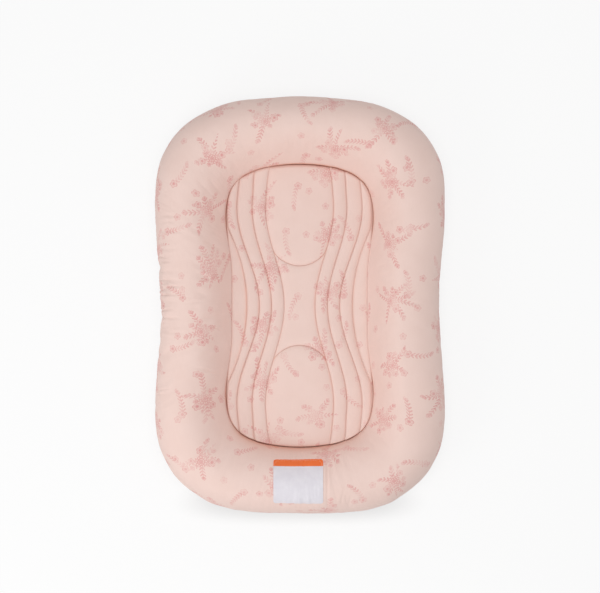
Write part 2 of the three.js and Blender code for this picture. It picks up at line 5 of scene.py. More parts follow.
import bmesh
import bpy
import numpy as np
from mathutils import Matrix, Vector


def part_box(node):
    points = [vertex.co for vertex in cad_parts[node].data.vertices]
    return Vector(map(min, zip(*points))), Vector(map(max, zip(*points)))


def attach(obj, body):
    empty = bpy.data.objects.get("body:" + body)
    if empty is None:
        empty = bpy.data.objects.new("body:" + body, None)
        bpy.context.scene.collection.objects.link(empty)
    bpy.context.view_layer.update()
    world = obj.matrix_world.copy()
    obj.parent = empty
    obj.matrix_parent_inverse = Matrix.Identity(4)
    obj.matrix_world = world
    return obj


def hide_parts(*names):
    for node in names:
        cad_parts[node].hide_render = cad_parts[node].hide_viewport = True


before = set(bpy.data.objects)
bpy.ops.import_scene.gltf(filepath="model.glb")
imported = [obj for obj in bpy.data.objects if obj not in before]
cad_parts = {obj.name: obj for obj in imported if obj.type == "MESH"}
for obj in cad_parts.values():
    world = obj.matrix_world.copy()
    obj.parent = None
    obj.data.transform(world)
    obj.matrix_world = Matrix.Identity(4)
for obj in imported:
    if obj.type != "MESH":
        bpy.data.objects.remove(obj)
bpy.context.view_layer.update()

BODY = "lounger"

# Outline of the whole lounger, and the heights of the model's layers.
cover_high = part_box("bolster_cover")[1]
panel_low, panel_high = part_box("centre_panel")
HALF_LENGTH = cover_high.y
HALF_WIDTH = 0.2560
HEIGHT = cover_high.z
WAIST_INSET = 0.0106
HEAD_WAIST_REACH = 0.177
FOOT_WAIST_REACH = 0.193
# Points that the outline passes through at a corner of the head end and of the foot end.
HEAD_CORNER = [(0.0200, 0.3681), (0.0400, 0.3674), (0.0743, 0.3646), (0.0956, 0.3624), (0.1168, 0.3589),
               (0.1380, 0.3532), (0.1593, 0.3447), (0.1805, 0.3339), (0.2017, 0.3199), (0.2228, 0.2983),
               (0.2368, 0.2771), (0.2466, 0.2566), (0.2521, 0.2353), (0.2549, 0.2141), (0.2557, 0.1950)]
FOOT_CORNER = [(0.0200, 0.3682), (0.0400, 0.3678), (0.0743, 0.3663), (0.0956, 0.3640), (0.1168, 0.3614),
               (0.1380, 0.3559), (0.1593, 0.3492), (0.1805, 0.3364), (0.2017, 0.3210), (0.2230, 0.2996),
               (0.2380, 0.2743), (0.2473, 0.2530), (0.2524, 0.2318), (0.2548, 0.2106), (0.2557, 0.1990)]
BASE_SEAM_Z = 0.014
DECK_SEAM_Z = panel_low.z
DECK_Z = 0.009

# Outline of the pad, and the gap round it: in the model, and here, where the pad presses into the bolster.
MODEL_SEAM_GAP = 0.0016
SEAM_GAP = -0.0003
# How far the pad lies off the middle of the lounger.
PAD_SHIFT = np.array([-0.0009, -0.0009])
PAD_HALF_LENGTH = panel_high.y + MODEL_SEAM_GAP
PAD_WAIST_HALF = 0.120
PAD_SHOULDER_HALF = 0.1315
FLARE_START = 0.050
FLARE_END = 0.167
PAD_CORNER_POWER = 9.4
PAD_SIDE_END = 0.160

# Section of the bolster.
OUTER_EQUATOR_Z = 0.045
INNER_EQUATOR_Z = 0.0440
OUTER_TUCK = 0.017
INNER_TUCK = 0.019
INNER_TUCK_POWER = 1.5
# Share of the bolster's width between the pad and the crest: at the sides and at the ends.
LEFT_CREST_SHARE = 0.60
RIGHT_CREST_SHARE = 0.49
HEAD_CREST_SHARE = 0.59
FOOT_CREST_SHARE = 0.61
SIDE_CREST_SHARE = (LEFT_CREST_SHARE + RIGHT_CREST_SHARE) / 2
# Distances from the waist between which the crest's share changes from the sides' to the ends'.
CREST_SHIFT = (0.150, 0.235)
OUTER_CROWN_POWER = 0.9
# The wall beside the pad, a Bezier curve: its slope where it meets the pad and the reach of its lower handle,
# at the sides and at the foot end, and the reach of its upper handle.
WALL_SLOPE = math.radians(57)
WALL_HANDLE = 0.55
FOOT_WALL_SLOPE = math.radians(78)
FOOT_WALL_HANDLE = 0.66
CREST_HANDLE = 0.38
# Distances from the waist between which the wall turns into the foot end's, and its clearance there.
FOOT_WALL_SHIFT = (0.200, 0.243)
FOOT_CREVICE = 0.0008
# Width of the bolster on which its flat cloth is measured, and the length of its ring.
MEAN_WIDTH = 0.121
RING_LENGTH = 1.95

# Grooves of the pad: middle and swing of each wavy line, and how much it flares near the pad's ends.
GROOVE_HALF_WAVE = 0.1734
GROOVES = [(0.0439, 0.0165, 0.0045), (0.0667, 0.0172, 0.0070), (0.0910, 0.0200, 0.0050)]
END_FLARE_START = 0.190
END_FLARE_REACH = 0.060
LENS_WAIST = 0.0931
LENS_FLARE = 0.0344
LENS_REACH = 0.138
LENS_TIP = 0.003
OVAL_START = 0.0704
OVAL_ROUND = 0.030

# Cloth, paddings and the clearance between layers.
COVER_CLOTH = 0.0012
TICKING = 0.0008
CASING_DEPTH = 0.0042
CASING_FLOOR_DEPTH = 0.0015
LAYER_GAP = 0.0003
# Depth of the filling on top and on the floor, the phase over which it changes to the floor's, and its tufts.
FILL_DEPTH = 0.0066
FILL_FLOOR_DEPTH = 0.0029
FILL_FLOOR_PHASE = 0.5
TUFT_RISE = 0.0006
TUFT_SPACING = 0.030
# Slabs inside the pad: how far their rounded edges reach in, and the rings on their faces, as shares of the
# way to the middle.
FOAM_EDGE = 0.002
LINING_EDGE = 0.0004
SLAB_RINGS = [0.1, 0.25, 0.5]

# Relief of the pad.
CREASE_HEIGHT = 0.015
BAND_CROWN = 0.0070
BAND_POWER = 2.0
# Share of a channel's width that its steep left lip takes, and the power of its slope down to the right.
LIP_SHARE = 0.22
LIP_POWER = 4.0
FALL_POWER = 2.0
OVAL_POWER = 9.0
NECK_POWER = 14.0
OVAL_SIDE_POWER = 3.2
OVAL_CROWN = 0.0078
NECK_CROWN = 0.0048
LENS_CROWN = 0.0030
EDGE_DROP = 0.0090
FOOT_EDGE_DROP = 0.0068
WAIST_EDGE_DROP = 0.0006
EDGE_ROUND = 0.0072
FOOT_EDGE_ROUND = 0.0014
WAIST_EDGE_ROUND = 0.0130
LEFT_EDGE_ROUND = 0.0030
# Distances left of the midline between which the edge turns crisp.
LEFT_EDGE_SHIFT = (0.085, 0.118)
# Distances from the waist between which the pad's edge changes from the waist's to the ends', and to the
# foot end's.
WAIST_REACH = (0.105, 0.155)
FOOT_EDGE_SHIFT = (0.150, 0.240)
# Places where the pad lies almost level with the bolster: middle, reach and share of the drop that is lost.
SOFT_EDGES = [
    ((-0.117, 0.212), 0.025, 0.95),
    ((0.116, -0.212), 0.024, 0.85),
    ((-0.065, 0.242), 0.036, 0.45),
    ((0.125, 0.190), 0.036, 0.55),
    ((0.127, -0.172), 0.028, 0.60),
    ((0.080, -0.240), 0.030, 0.40),
    ((-0.122, -0.207), 0.018, 0.60),
]
# The warm shade painted into the cloth along the creases. Its reach into the pad's rim and up the wall:
RIM_SHADE_REACH = 0.0010
WALL_SHADE_REACH = 0.0012
FOOT_WALL_SHADE_REACH = 0.0050
# Distances from the waist between which its reach up the wall grows to the foot end's, and the phases between
# which it starts on the wall.
FOOT_WALL_SHADE_SHIFT = (0.190, 0.235)
WALL_SHADE_PHASES = (2.4, 2.7)
# Its strength in the grooves, the height over a crease at which it is gone, and the distances from the rim
# between which it sets in.
GROOVE_SHADE = 0.40
GROOVE_SHADE_RISE = 0.0018
GROOVE_SHADE_START = (0.014, 0.026)

# Relief of the stuffed cover. Soft swells, their share down the outer wall, and the phases between which they
# grow to the full:
SWELL = 0.0007
SWELL_SPACING = 0.110
EDGE_SWELL_SHARE = 0.35
SWELL_PHASES = (0.9, 1.5)
# Gathers across the bolster: their spacing and lean, how wide a fold is, and their least depth.
GATHER_SPACING = 0.017
GATHER_LEAN = 3.0
GATHER_WIDTH = 0.45
GATHER_ALL = 0.00006
# Places where the cloth is gathered more: middle, reach and depth.
GATHERED = [
    ((-0.240, 0.030), (0.030, 0.085), 0.00090),
    ((-0.242, 0.170), (0.024, 0.040), 0.00060),
    ((-0.245, -0.170), (0.016, 0.030), 0.00035),
    ((0.238, 0.010), (0.024, 0.080), 0.00025),
    ((0.010, -0.335), (0.110, 0.035), 0.00045),
    ((0.000, -0.268), (0.100, 0.018), 0.00055),
    ((-0.150, 0.020), (0.018, 0.130), 0.00022),
    ((0.020, 0.335), (0.110, 0.030), 0.00018),
]
# Puckers at the base seam: their rise, spacing, lean, reach, and the distance from the seam in which they
# start.
PUCKER = 0.0007
PUCKER_SPACING = 0.021
PUCKER_LEAN = 1.0
PUCKER_REACH = 0.013
PUCKER_START = 0.002
# Single creases: start, end, width and depth.
CREASES = [
    ((-0.189, -0.268), (-0.158, -0.249), 0.0016, 0.0020),
    ((-0.248, 0.158), (-0.215, 0.157), 0.0024, 0.0013),
    ((-0.246, 0.146), (-0.222, 0.147), 0.0020, 0.0011),
    ((-0.248, 0.131), (-0.208, 0.129), 0.0024, 0.0013),
    ((-0.248, 0.098), (-0.214, 0.099), 0.0024, 0.0014),
    ((-0.248, 0.085), (-0.224, 0.087), 0.0018, 0.0018),
    ((-0.248, 0.076), (-0.228, 0.077), 0.0018, 0.0015),
    ((-0.176, 0.089), (-0.140, 0.089), 0.0022, 0.0010),
    ((-0.247, 0.059), (-0.205, 0.060), 0.0026, 0.0013),
    ((-0.247, 0.044), (-0.211, 0.044), 0.0020, 0.0018),
    ((-0.247, 0.037), (-0.230, 0.039), 0.0016, 0.0016),
    ((-0.240, 0.032), (-0.202, 0.034), 0.0018, 0.0032),
    ((-0.247, 0.026), (-0.234, 0.029), 0.0016, 0.0020),
    ((-0.246, 0.018), (-0.212, 0.019), 0.0020, 0.0027),
    ((-0.214, 0.014), (-0.190, 0.013), 0.0020, 0.0012),
    ((-0.206, 0.003), (-0.172, 0.006), 0.0020, 0.0014),
    ((-0.246, -0.009), (-0.222, -0.006), 0.0020, 0.0016),
    ((-0.202, -0.005), (-0.180, -0.005), 0.0018, 0.0013),
    ((-0.246, -0.021), (-0.210, -0.023), 0.0020, 0.0014),
    ((-0.238, -0.047), (-0.196, -0.050), 0.0026, 0.0009),
    ((-0.161, -0.035), (-0.138, -0.044), 0.0018, 0.0014),
    ((-0.182, -0.110), (-0.140, -0.122), 0.0020, 0.0012),
    ((-0.252, -0.150), (-0.232, -0.147), 0.0016, 0.0012),
    ((-0.252, -0.157), (-0.236, -0.155), 0.0015, 0.0008),
    ((0.181, 0.006), (0.214, 0.002), 0.0020, 0.0010),
    ((0.158, -0.073), (0.179, -0.076), 0.0020, 0.0005),
    ((-0.080, -0.345), (-0.062, -0.306), 0.0022, 0.0007),
    ((0.048, -0.356), (0.047, -0.256), 0.0018, 0.0016),
    ((0.071, -0.350), (0.078, -0.318), 0.0020, 0.0008),
    ((0.085, -0.354), (0.092, -0.330), 0.0018, 0.0008),
    ((0.104, -0.350), (0.112, -0.322), 0.0020, 0.0007),
]
# The lip beside a crease: its height beside the crease's depth, and its distance in widths of the crease.
CREASE_LIP = 0.4
CREASE_LIP_PLACE = 2
# Phases between which the creases start on the outer wall.
CREASE_START = (0.75, 1.0)
# Phases between which the whole relief fades out on the wall beside the pad.
CALM_PHASES = (2.60, 2.96)
# Depth that the deepest folds come near, so that the cover stays clear of the ticking.
DEEPEST = 0.0028

# Cloth simulation of the cover. Its grid, its length in frames, and the pressure inside:
SIM_STATIONS = 390
SIM_POINTS = 42
SIM_FRAMES = 20
SIM_PRESSURE = 4.0
# How much too large the skin is cut, its mass and stiffness, and the small unevenness that starts its folds.
SIM_SPARE = 0.03
SIM_MASS = 0.02
SIM_BENDING = 0.3
SIM_ROUGHNESS = 0.0002
SIM_ROUGH_SPACING = 0.022
SIM_ROUGH_LEAN = 3.0
# Depth at which the way out of the bolster is measured.
SIM_PROBE = 0.001
# Rounds of smoothing that part the folds from the swelling, and the most that a fold may rise or sink.
SMOOTHING = 50
FOLD_MOST = 0.0030
# Share of the simulated folds that the cover keeps: everywhere, and more of it at places with their reach.
FOLD_ALL = 0.22
FOLDED = [
    ((-0.205, 0.030), (0.080, 0.150), 0.85),
    ((-0.200, -0.200), (0.070, 0.090), 0.25),
    ((0.095, -0.300), (0.055, 0.070), 0.60),
    ((-0.100, -0.300), (0.045, 0.060), 0.30),
]
# The stiff label holds the cover smooth: its middle, the reach of its hold, and how squarely that ends.
HELD_SMOOTH = ((-0.003, -0.310), (0.054, 0.052))
HELD_POWER = 4

# Random waves: how many are summed, their shortest and longest beside their spacing, and the seeds.
WAVE_COUNT = 24
WAVE_STRETCH = (0.7, 1.5)
RIB_COUNT = 26
RIB_STRETCH = (0.65, 1.45)
SWELL_SEED = 3
GATHER_SEED = 11
PUCKER_SEED = 23
TUFT_SEED = 41
SLACK_SEED = 61
WAVER_SEED = 62
ROUGH_SEED = 71

# Screen colours, 0 to 255 a channel, of the printed cotton, its ink and the warm shade painted into its
# creases.
CLOTH = (239, 212, 203)
CLOTH_SHADE = (234, 205, 195)
INK = (218, 136, 135)
PAINTED_CREASE_COLOUR = (214, 130, 84)
# How strongly the painted crease shade is mixed into the cloth's colour.
PAINTED_CREASE_STRENGTH = 0.75
# Light and dark colours of the other finishes.
BASE_COTTON = ((241, 227, 219), (231, 213, 203))
TICKING_CLOTH = ((244, 240, 232), (231, 225, 213))
TAPE_CLOTH = ((233, 206, 196), (222, 192, 181))
LABEL_FIELD = ((228, 224, 230), (220, 215, 223))
LABEL_ORANGE = ((242, 118, 54), (233, 108, 48))
NICKEL = ((196, 192, 188), (172, 168, 164))
NYLON = ((234, 207, 198), (222, 192, 182))
THREAD = ((243, 222, 214), (228, 198, 188))
FOAM = ((243, 231, 202), (228, 211, 172))
FIBRE = ((250, 249, 246), (228, 226, 220))
# Width of a thread of each weave and the height that it rises to, and the height of the cotton's crumples.
COTTON_THREAD = 0.0009
COTTON_RISE = 0.000022
CRUMPLE = 0.00035
TICKING_THREAD = 0.0011
TAPE_THREAD = 0.0007
PLAIN_RISE = 0.00003
SATIN_THREAD = 0.0006
SATIN_RISE = 0.000012
# Height of the metal's scratches, the twist of the thread and its height, the cells of the foam per metre and
# their height, and the height of the fibres.
SCRATCH_RISE = 0.000004
THREAD_TWIST = 0.0007
TWIST_RISE = 0.00003
FOAM_CELLS = 900.0
CELL_RISE = 0.0003
FIBRE_RISE = 0.0006
# Thick yarns of a weave: noise per metre along and across them, and their height beside the weave's.
SLUB_ALONG = 60
SLUB_ACROSS = 900
SLUB_RISE = 1.6

# The print. Each motif's repeat, seed, and how far its middle strays in its cell as a share of the repeat:
LARGE_PITCH = 0.104
LARGE_SEED = 2.0
LARGE_STRAY = 0.24
SPRIG_SEED = 9.0
SPRIG_STRAY = 0.30
SPRIG_SHIFT = (0.052, 0.026)
SINGLE_PITCH = 0.067
SINGLE_SEED = 5.0
SINGLE_STRAY = 0.8
SINGLE_SHIFT = (0.031, 0.067)
# Reach of the branches and size of the flowers.
LARGE_REACH = 0.046
LARGE_BLOOM = 0.0100
SPRIG_REACH = 0.038
SINGLE_BLOOM = 0.0062
# Leaves, in steps of their stem: the cosine of their slant and half their size.
LEAF_SLANT = 0.707
LEAF_HALF_LENGTH = 0.60
LEAF_HALF_WIDTH = 0.18
# Stems of a bouquet: their number, how far they stray, the length of a leaf's step in reaches, the shortest
# length and its range, how short the sideways ones are, and their bend.
STEMS = 8
STEM_SPREAD = 0.40
LEAF_SHARE = 0.125
STEM_LEAST = 0.30
STEM_RANGE = 0.75
STEM_ASIDE = 0.55
STEM_BEND = 1.1
# Numbers that set the random draws of neighbouring stems apart.
STEM_KEYS = (17.3, 5.1)
# Size of a bouquet's buds in radii of its main flower, and its flowers, in the same: the place round it, the
# distance and the size.
BUD_SHARE = 0.36
BOUQUET = [(0.4, 0.30, 1.0), (2.0, 1.75, 0.72), (4.1, 1.65, 0.60), (5.5, 1.85, 0.52)]
# A sprig, in its reach: its bend, its place aside, the length of a leaf's step, and its bud and flower.
SPRIG_BEND = 0.35
SPRIG_ASIDE = 0.10
SPRIG_LEAF = 0.145
SPRIG_BUD = 0.10
SPRIG_FLOWER = 0.18
# Where the pad's piece was cut from the printed cloth, and how strong the print is on it.
PAD_CUT = (0.013, 0.031)
PAD_PRINT = 0.85

# Underside: the zip's end, half its slot's width, the slot's length past the zip, and where the rows of the
# cotton and of the ticking end on the deck, as shares of the pad's outline.
ZIP_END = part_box("zip_bottom_stop")[1].y
ZIP_SLOT_HALF = 0.009
ZIP_OPENING_MARGIN = 0.0078
DECK_GOAL_SHARE = 0.87
CASING_GOAL_SHARE = 0.02

# A stitch: its taper, how far it arches up and sinks, in its thickness, and the reach of its tips, in its
# length.
STITCH_TAPER = 0.75
STITCH_ARCH = 0.55
STITCH_SINK = 0.25
STITCH_TIP_SINK = 0.3
STITCH_TIP_REACH = 0.52
# Length, pitch and thickness of the stitches of each row.
SEAM_STITCH = (0.0029, 0.0040, 0.00055)
ZIP_STITCH = (0.0026, 0.0036, 0.0005)
LABEL_STITCH = (0.0016, 0.0023, 0.0003)
TAG_STITCH = (0.0020, 0.0029, 0.0004)
# Height of the seam's row over the base seam, its thread's lift, and the depth that gives its way out.
SEAM_STITCH_Z = 0.0045
THREAD_LIFT = 0.0001
THREAD_PROBE = 0.004
# Distance of the zip's rows from its slot, and from the slot's ends.
ZIP_STITCH_INSET = 0.0022
ZIP_STITCH_END = 0.004

# Label: its size, its band and its place on the foot end.
LABEL_WIDTH = 0.0873
LABEL_LENGTH = 0.0752
LABEL_CORNER = 0.0035
LABEL_THICKNESS = 0.0005
LABEL_BAND = 0.0113
LABEL_OFFSET = -0.0034
LABEL_FOOT_MARGIN = 0.0213
LABEL_MIDDLE = (LABEL_OFFSET, -HALF_LENGTH + LABEL_FOOT_MARGIN + LABEL_LENGTH / 2)
# Shares of the ring and phases between which the place under a point of the label is searched.
LABEL_SHARES = (0.6, 0.9)
LABEL_PHASES = (1.0, 3.0)
# Its slack wrinkles: rise, spacing, and how they stretch across and along. Its finer waver, and how far both
# may sink.
SLACK = 0.00028
SLACK_SPACING = 0.022
SLACK_STRETCH = (1.6, 0.35)
WAVER = 0.0001
WAVER_SPACING = 0.016
SLACK_SINK = 0.0001
# Its row of stitches: inset, how square the row's corners are, and the depth that gives its way out.
LABEL_STITCH_INSET = 0.0022
LABEL_STITCH_POWER = 0.16
LABEL_PROBE = 0.003
# Half the width of the soft line between the label's band and its field.
BAND_BLUR = 0.0002

# Care tag: how far its free end curls down, its waves across, and the inset of its stitches from the sides
# and the end.
TAG_CURL = 0.0016
TAG_WAVE = 0.00025
TAG_WAVE_LENGTH = 0.021
TAG_WAVE_START = 1.0
TAG_STITCH_INSET = (0.001, 0.002)

# Zip: pitch and wire of its coils, and how far the turns of each coil reach past the midline, between those
# of the other.
COIL_PITCH = 0.0013
COIL_WIRE = 0.00031
COIL_OVERLAP = 0.00045
# Ribs of the tapes.
TAPE_RIB = 0.00006
TAPE_RIB_PITCH = 0.0011
# Hard parts of the zip: their body and the width of their eased edges.
HARD_PARTS = {
    "zip_top_stop_left": (BODY, 0.0002),
    "zip_top_stop_right": (BODY, 0.0002),
    "zip_bottom_stop": (BODY, 0.0002),
    "zip_slider": ("slider", 0.00025),
    "zip_pull": ("pull", 0.0003),
}
EASE_SEGMENTS = 3
EASE_ANGLE = math.radians(30)
# The angle under which two faces of a hard part count as one, and the distance under which two points do.
FLAT_ANGLE = math.radians(2)
WELD = 1e-6

# Stage, camera and light.
CAMERA_PLACE = (-0.0003, 0.0150, 7.500)
FIELD_WIDTH = 1.0617
FIELD_Z = 0.045
SENSOR_WIDTH = 36.0
BACKGROUND = (249, 249, 249)
FLOOR_HALF = 6.0
FLOOR_DROP = 0.0004
FLOOR_GREY = 0.86
# Share of the floor's look that is plain paper, and how bright that is beside the background.
PAPER_SHARE = 0.80
PAPER_LIGHT = 1.062
# A soft shade on the paper under the foot end: its middle, half its size, its depth and where it fades.
FOOT_SHADE_Y = -0.352
FOOT_SHADE_SIZE = (0.235, 0.045)
FOOT_SHADE = 0.19
FOOT_SHADE_FADE = (0.25, 1.0)
WORLD_LIGHT = 0.59
LAMP_SIZE = 1.1
LAMPS = {"overhead": ((0.0, 0.0, 2.4), 14.9), "side": ((-1.25, -1.15, 1.10), 8.4)}

# Counts of the grids: round the bolster, over it, and down each piece of the underside.
RING_STATIONS = 1100
COVER_POINTS = 112
LINING_POINTS = 14
PLAIN_STATIONS = 240
PANEL_STATIONS = 260
CASING_POINTS = 40
FILL_POINTS = 72
ROLL_POINTS = 12
FLOOR_POINTS = 18
RISE_POINTS = 6
DECK_POINTS = 22
# Columns of each strip of the pad, and rows of its neck and of its oval.
CENTRE_COLUMNS = 30
BAND_COLUMNS = 16
LENS_COLUMNS = 12
NECK_STEPS = 34
OVAL_STEPS = 100
SLAB_RIM_POINTS = 9
# Steps along and round a stitch and a turn of the coil, and the counts of the small grids.
STITCH_POINTS = 5
STITCH_SIDES = 6
COIL_POINTS = 10
COIL_SIDES = 5
LABEL_GRID = (60, 66)
TAG_GRID = (26, 36)
TAPE_GRID = (40, 160)
SEAM_PATH_POINTS = 2400
ZIP_PATH_POINTS = 40
LABEL_PATH_POINTS = 900
TAG_PATH_POINTS = 30
# Samples of an outline and of a section, points along the side, halvings of a search, and the step that gives
# a section's normal.
QUARTER_SAMPLES = 6000
SIDE_POINTS = 30
HALVINGS = 36
PHASE_STEP = 0.004
# Angles over which an edge of a thin piece and of a slab is sharp.
RIM_ANGLE = math.radians(60)
SLAB_ANGLE = math.radians(50)

TAU = 2 * math.pi
QUARTER_TURN = math.pi / 2


def mix(a, b, share):
    """The value at a share of the way from a to b."""
    return a + (b - a) * share


def smooth(value, low, high):
    """Rises from 0 at low to 1 at high, level at both ends: three times the share's square less twice its
    cube."""
    share = np.clip((value - low) / (high - low), 0, 1)
    return share * share * (3 - 2 * share)


def crossing(rising, low, high):
    """Halves each interval from low to high until it closes on the place where a rising function is zero."""
    for _ in range(HALVINGS):
        middle = (low + high) / 2
        below = rising(middle) < 0
        low = np.where(below, middle, low)
        high = np.where(below, high, middle)
    return (low + high) / 2


def waves(places, spacing, seed):
    """Smooth noise of about unit size: a sum of plane waves, each with a random heading, length and start."""
    draw = np.random.default_rng(seed)
    total = 0
    headings = draw.uniform(0, TAU, WAVE_COUNT)
    stretches = draw.uniform(*WAVE_STRETCH, WAVE_COUNT)
    starts = draw.uniform(0, TAU, WAVE_COUNT)
    for heading, stretch, start in zip(headings, stretches, starts):
        along = places[0] * math.cos(heading) + places[1] * math.sin(heading)
        total = total + np.sin(TAU * along / (spacing * stretch) + start)
    return total * math.sqrt(2 / WAVE_COUNT)


# Outlines seen from above.

def body_side(y, reach):
    """Half-width of the lounger: a cosine dip at the waist."""
    dip = np.where(np.abs(y) < reach, (1 + np.cos(math.pi * y / reach)) / 2, 0)
    return HALF_WIDTH - WAIST_INSET * dip


def pad_side(y):
    """Half-width of the pad before its ends are rounded: it flares from the waist to the shoulders."""
    return mix(PAD_WAIST_HALF, PAD_SHOULDER_HALF, smooth(np.abs(y), FLARE_START, FLARE_END))


def quarter_outline(half_length, side, power):
    """A quarter of an outline: at a turn t, y is half_length times sin t to the power 2/power, and x is the
    side's half-width there times cos t. The run along it goes from 0 to 1."""
    turn = QUARTER_TURN * np.linspace(0, 1, QUARTER_SAMPLES) ** (power / 2)
    y = half_length * np.sin(turn) ** (2 / power)
    x = side(y) * np.cos(turn)
    run = np.concatenate([[0], np.cumsum(np.hypot(np.diff(x), np.diff(y)))])
    return run / run[-1], x, y


def through(points, count):
    """A smooth curve through points: each span is a cubic whose slopes at its ends come from the neighbours,
    timed by the lengths of the spans."""
    points = np.array(points)
    time = np.concatenate([[0], np.cumsum(np.linalg.norm(np.diff(points, axis=0), axis=1))])
    slopes = np.gradient(points, time, axis=0)
    at = np.linspace(0, time[-1], count)
    span = np.clip(np.searchsorted(time, at, side="right") - 1, 0, len(time) - 2)
    size = (time[span + 1] - time[span])[:, None]
    share = (at - time[span])[:, None] / size
    rise = share * share * (3 - 2 * share)
    out = share * (1 - share) ** 2
    back = share ** 2 * (share - 1)
    return mix(points[span], points[span + 1], rise) + size * (out * slopes[span] + back * slopes[span + 1])


def body_quarter(corner, reach):
    """A quarter of the lounger's outline, from the waist to the middle of the end."""
    side_y = np.linspace(0, corner[-1][1], SIDE_POINTS)[:-1]
    side = list(zip(body_side(side_y, reach), side_y))
    x, y = through(side + corner[::-1] + [(0, HALF_LENGTH)], QUARTER_SAMPLES).T
    run = np.concatenate([[0], np.cumsum(np.hypot(np.diff(x), np.diff(y)))])
    return run / run[-1], x, y


BODY_QUARTERS = [body_quarter(HEAD_CORNER, HEAD_WAIST_REACH), body_quarter(FOOT_CORNER, FOOT_WAIST_REACH)]
PAD_QUARTERS = [quarter_outline(PAD_HALF_LENGTH, pad_side, PAD_CORNER_POWER)] * 2


def outline(quarters, share):
    """Points of a whole outline at shares of a turn: a quarter at the head end and one at the foot end, each
    mirrored from right to left."""
    turn = (share % 1) * 4
    index = np.floor(turn)
    part = np.where(index % 2 == 0, turn - index, 1 - turn + index)
    left = (index == 1) | (index == 2)
    foot = index > 1
    (head_run, head_x, head_y), (foot_run, foot_x, foot_y) = quarters
    across = np.where(foot, np.interp(part, foot_run, foot_x), np.interp(part, head_run, head_x))
    along = np.where(foot, -np.interp(part, foot_run, foot_y), np.interp(part, head_run, head_y))
    return np.stack([np.where(left, -across, across), along], axis=-1)


def stations(share):
    """Upright planes across the bolster: the pad's outline, the way outwards, and the bolster's width."""
    inner = outline(PAD_QUARTERS, share) + PAD_SHIFT
    reach = outline(BODY_QUARTERS, share) - inner
    width = np.linalg.norm(reach, axis=-1)
    return inner, reach / width[..., None], width


def around(count):
    """Shares of a turn, one a row, for a grid that closes round."""
    return np.arange(count)[:, None] / count


def less_at_soft_edges(depth, x, y):
    """A depth at the pad's edge, lessened by a bell near each place that is almost level with the bolster."""
    for place, reach, lost in SOFT_EDGES:
        depth = depth * (1 - lost * np.exp(-(np.hypot(x - place[0], y - place[1]) / reach) ** 2))
    return depth


def painted_line_strength(x, y):
    """Strength of the shade painted along the line round the pad: nothing at the waist, and little at the
    soft edges.
    """
    return less_at_soft_edges(smooth(np.abs(y), *WAIST_REACH), x, y)


# Section of the bolster.

def bezier(t, a, b, c, d):
    """One coordinate of a cubic Bezier curve."""
    return (1 - t) ** 3 * a + 3 * t * (1 - t) ** 2 * b + 3 * t ** 2 * (1 - t) * c + t ** 3 * d


def crest_distance(width, beside):
    """Distance of the crest from the pad, beside a place of the pad's outline."""
    x, y = beside[..., 0], beside[..., 1]
    side = mix(LEFT_CREST_SHARE, RIGHT_CREST_SHARE, smooth(x, -PAD_WAIST_HALF, PAD_WAIST_HALF))
    end = mix(FOOT_CREST_SHARE, HEAD_CREST_SHARE, smooth(y, -PAD_WAIST_HALF, PAD_WAIST_HALF))
    return width * mix(side, end, smooth(np.abs(y), *CREST_SHIFT))


def section_curve(phase, width, beside):
    """Four arcs: phase 0 is the outer foot, 1 the outer wall, 2 the crest, 3 the place beside the pad and 4
    the inner foot. The third is a Bezier curve, and the others follow the sine and cosine of a quarter turn.
    Gives the distance from the pad and the height, for a width of the bolster beside a place of the pad's
    outline."""
    quarter = np.clip(np.floor(phase), 0, 3)
    turn = (phase - quarter) * QUARTER_TURN
    sine, cosine = np.maximum(np.sin(turn), 0), np.maximum(np.cos(turn), 0)
    crest = crest_distance(width, beside)
    at_foot = smooth(-beside[..., 1], *FOOT_WALL_SHIFT)
    slope = mix(WALL_SLOPE, FOOT_WALL_SLOPE, at_foot)
    handle = (HEIGHT - INNER_EQUATOR_Z) * mix(WALL_HANDLE, FOOT_WALL_HANDLE, at_foot)
    foot = FOOT_CREVICE * at_foot
    arcs = [quarter == 0, quarter == 1, quarter == 2, quarter == 3]
    distance = np.select(arcs, [
        width - OUTER_TUCK * (1 - sine),
        crest + (width - crest) * cosine ** OUTER_CROWN_POWER,
        bezier(phase - 2, crest, crest * (1 - CREST_HANDLE), foot + handle * np.cos(slope), foot),
        foot + INNER_TUCK * (1 - cosine) ** INNER_TUCK_POWER,
    ])
    height = np.select(arcs, [
        OUTER_EQUATOR_Z * (1 - cosine),
        mix(OUTER_EQUATOR_Z, HEIGHT, sine ** OUTER_CROWN_POWER),
        bezier(phase - 2, HEIGHT, HEIGHT, INNER_EQUATOR_Z + handle * np.sin(slope), INNER_EQUATOR_Z),
        INNER_EQUATOR_Z * (1 - sine),
    ])
    return distance, height


def section(phase, width, depth, beside):
    """The section moved inwards by a depth along its own normal, which a small step each way gives."""
    distance, height = section_curve(phase, width, beside)
    before = section_curve(np.maximum(phase - PHASE_STEP, 0), width, beside)
    after = section_curve(np.minimum(phase + PHASE_STEP, 4), width, beside)
    run, rise = after[0] - before[0], after[1] - before[1]
    length = np.hypot(run, rise)
    return distance - rise / length * depth, height + run / length * depth


PHASES = np.linspace(0, 4, QUARTER_SAMPLES)
MEAN_SECTION = np.stack(section_curve(PHASES, MEAN_WIDTH, np.zeros(2)))
REACH_OVER = np.concatenate([[0], np.cumsum(np.hypot(*np.diff(MEAN_SECTION)))])
CREST_OVER = np.interp(2, PHASES, REACH_OVER)


def over_at(phase):
    """Length of cloth from the outer foot, over the section, to a phase."""
    return np.interp(phase, PHASES, REACH_OVER)


def even_phases(first, last, count):
    """Phases spaced evenly along the section."""
    return np.interp(np.linspace(over_at(first), over_at(last), count), REACH_OVER, PHASES)


def outer_phase(z):
    """Phase at which the lower arc of the outer wall is at a height."""
    return math.acos(1 - z / OUTER_EQUATOR_Z) / QUARTER_TURN


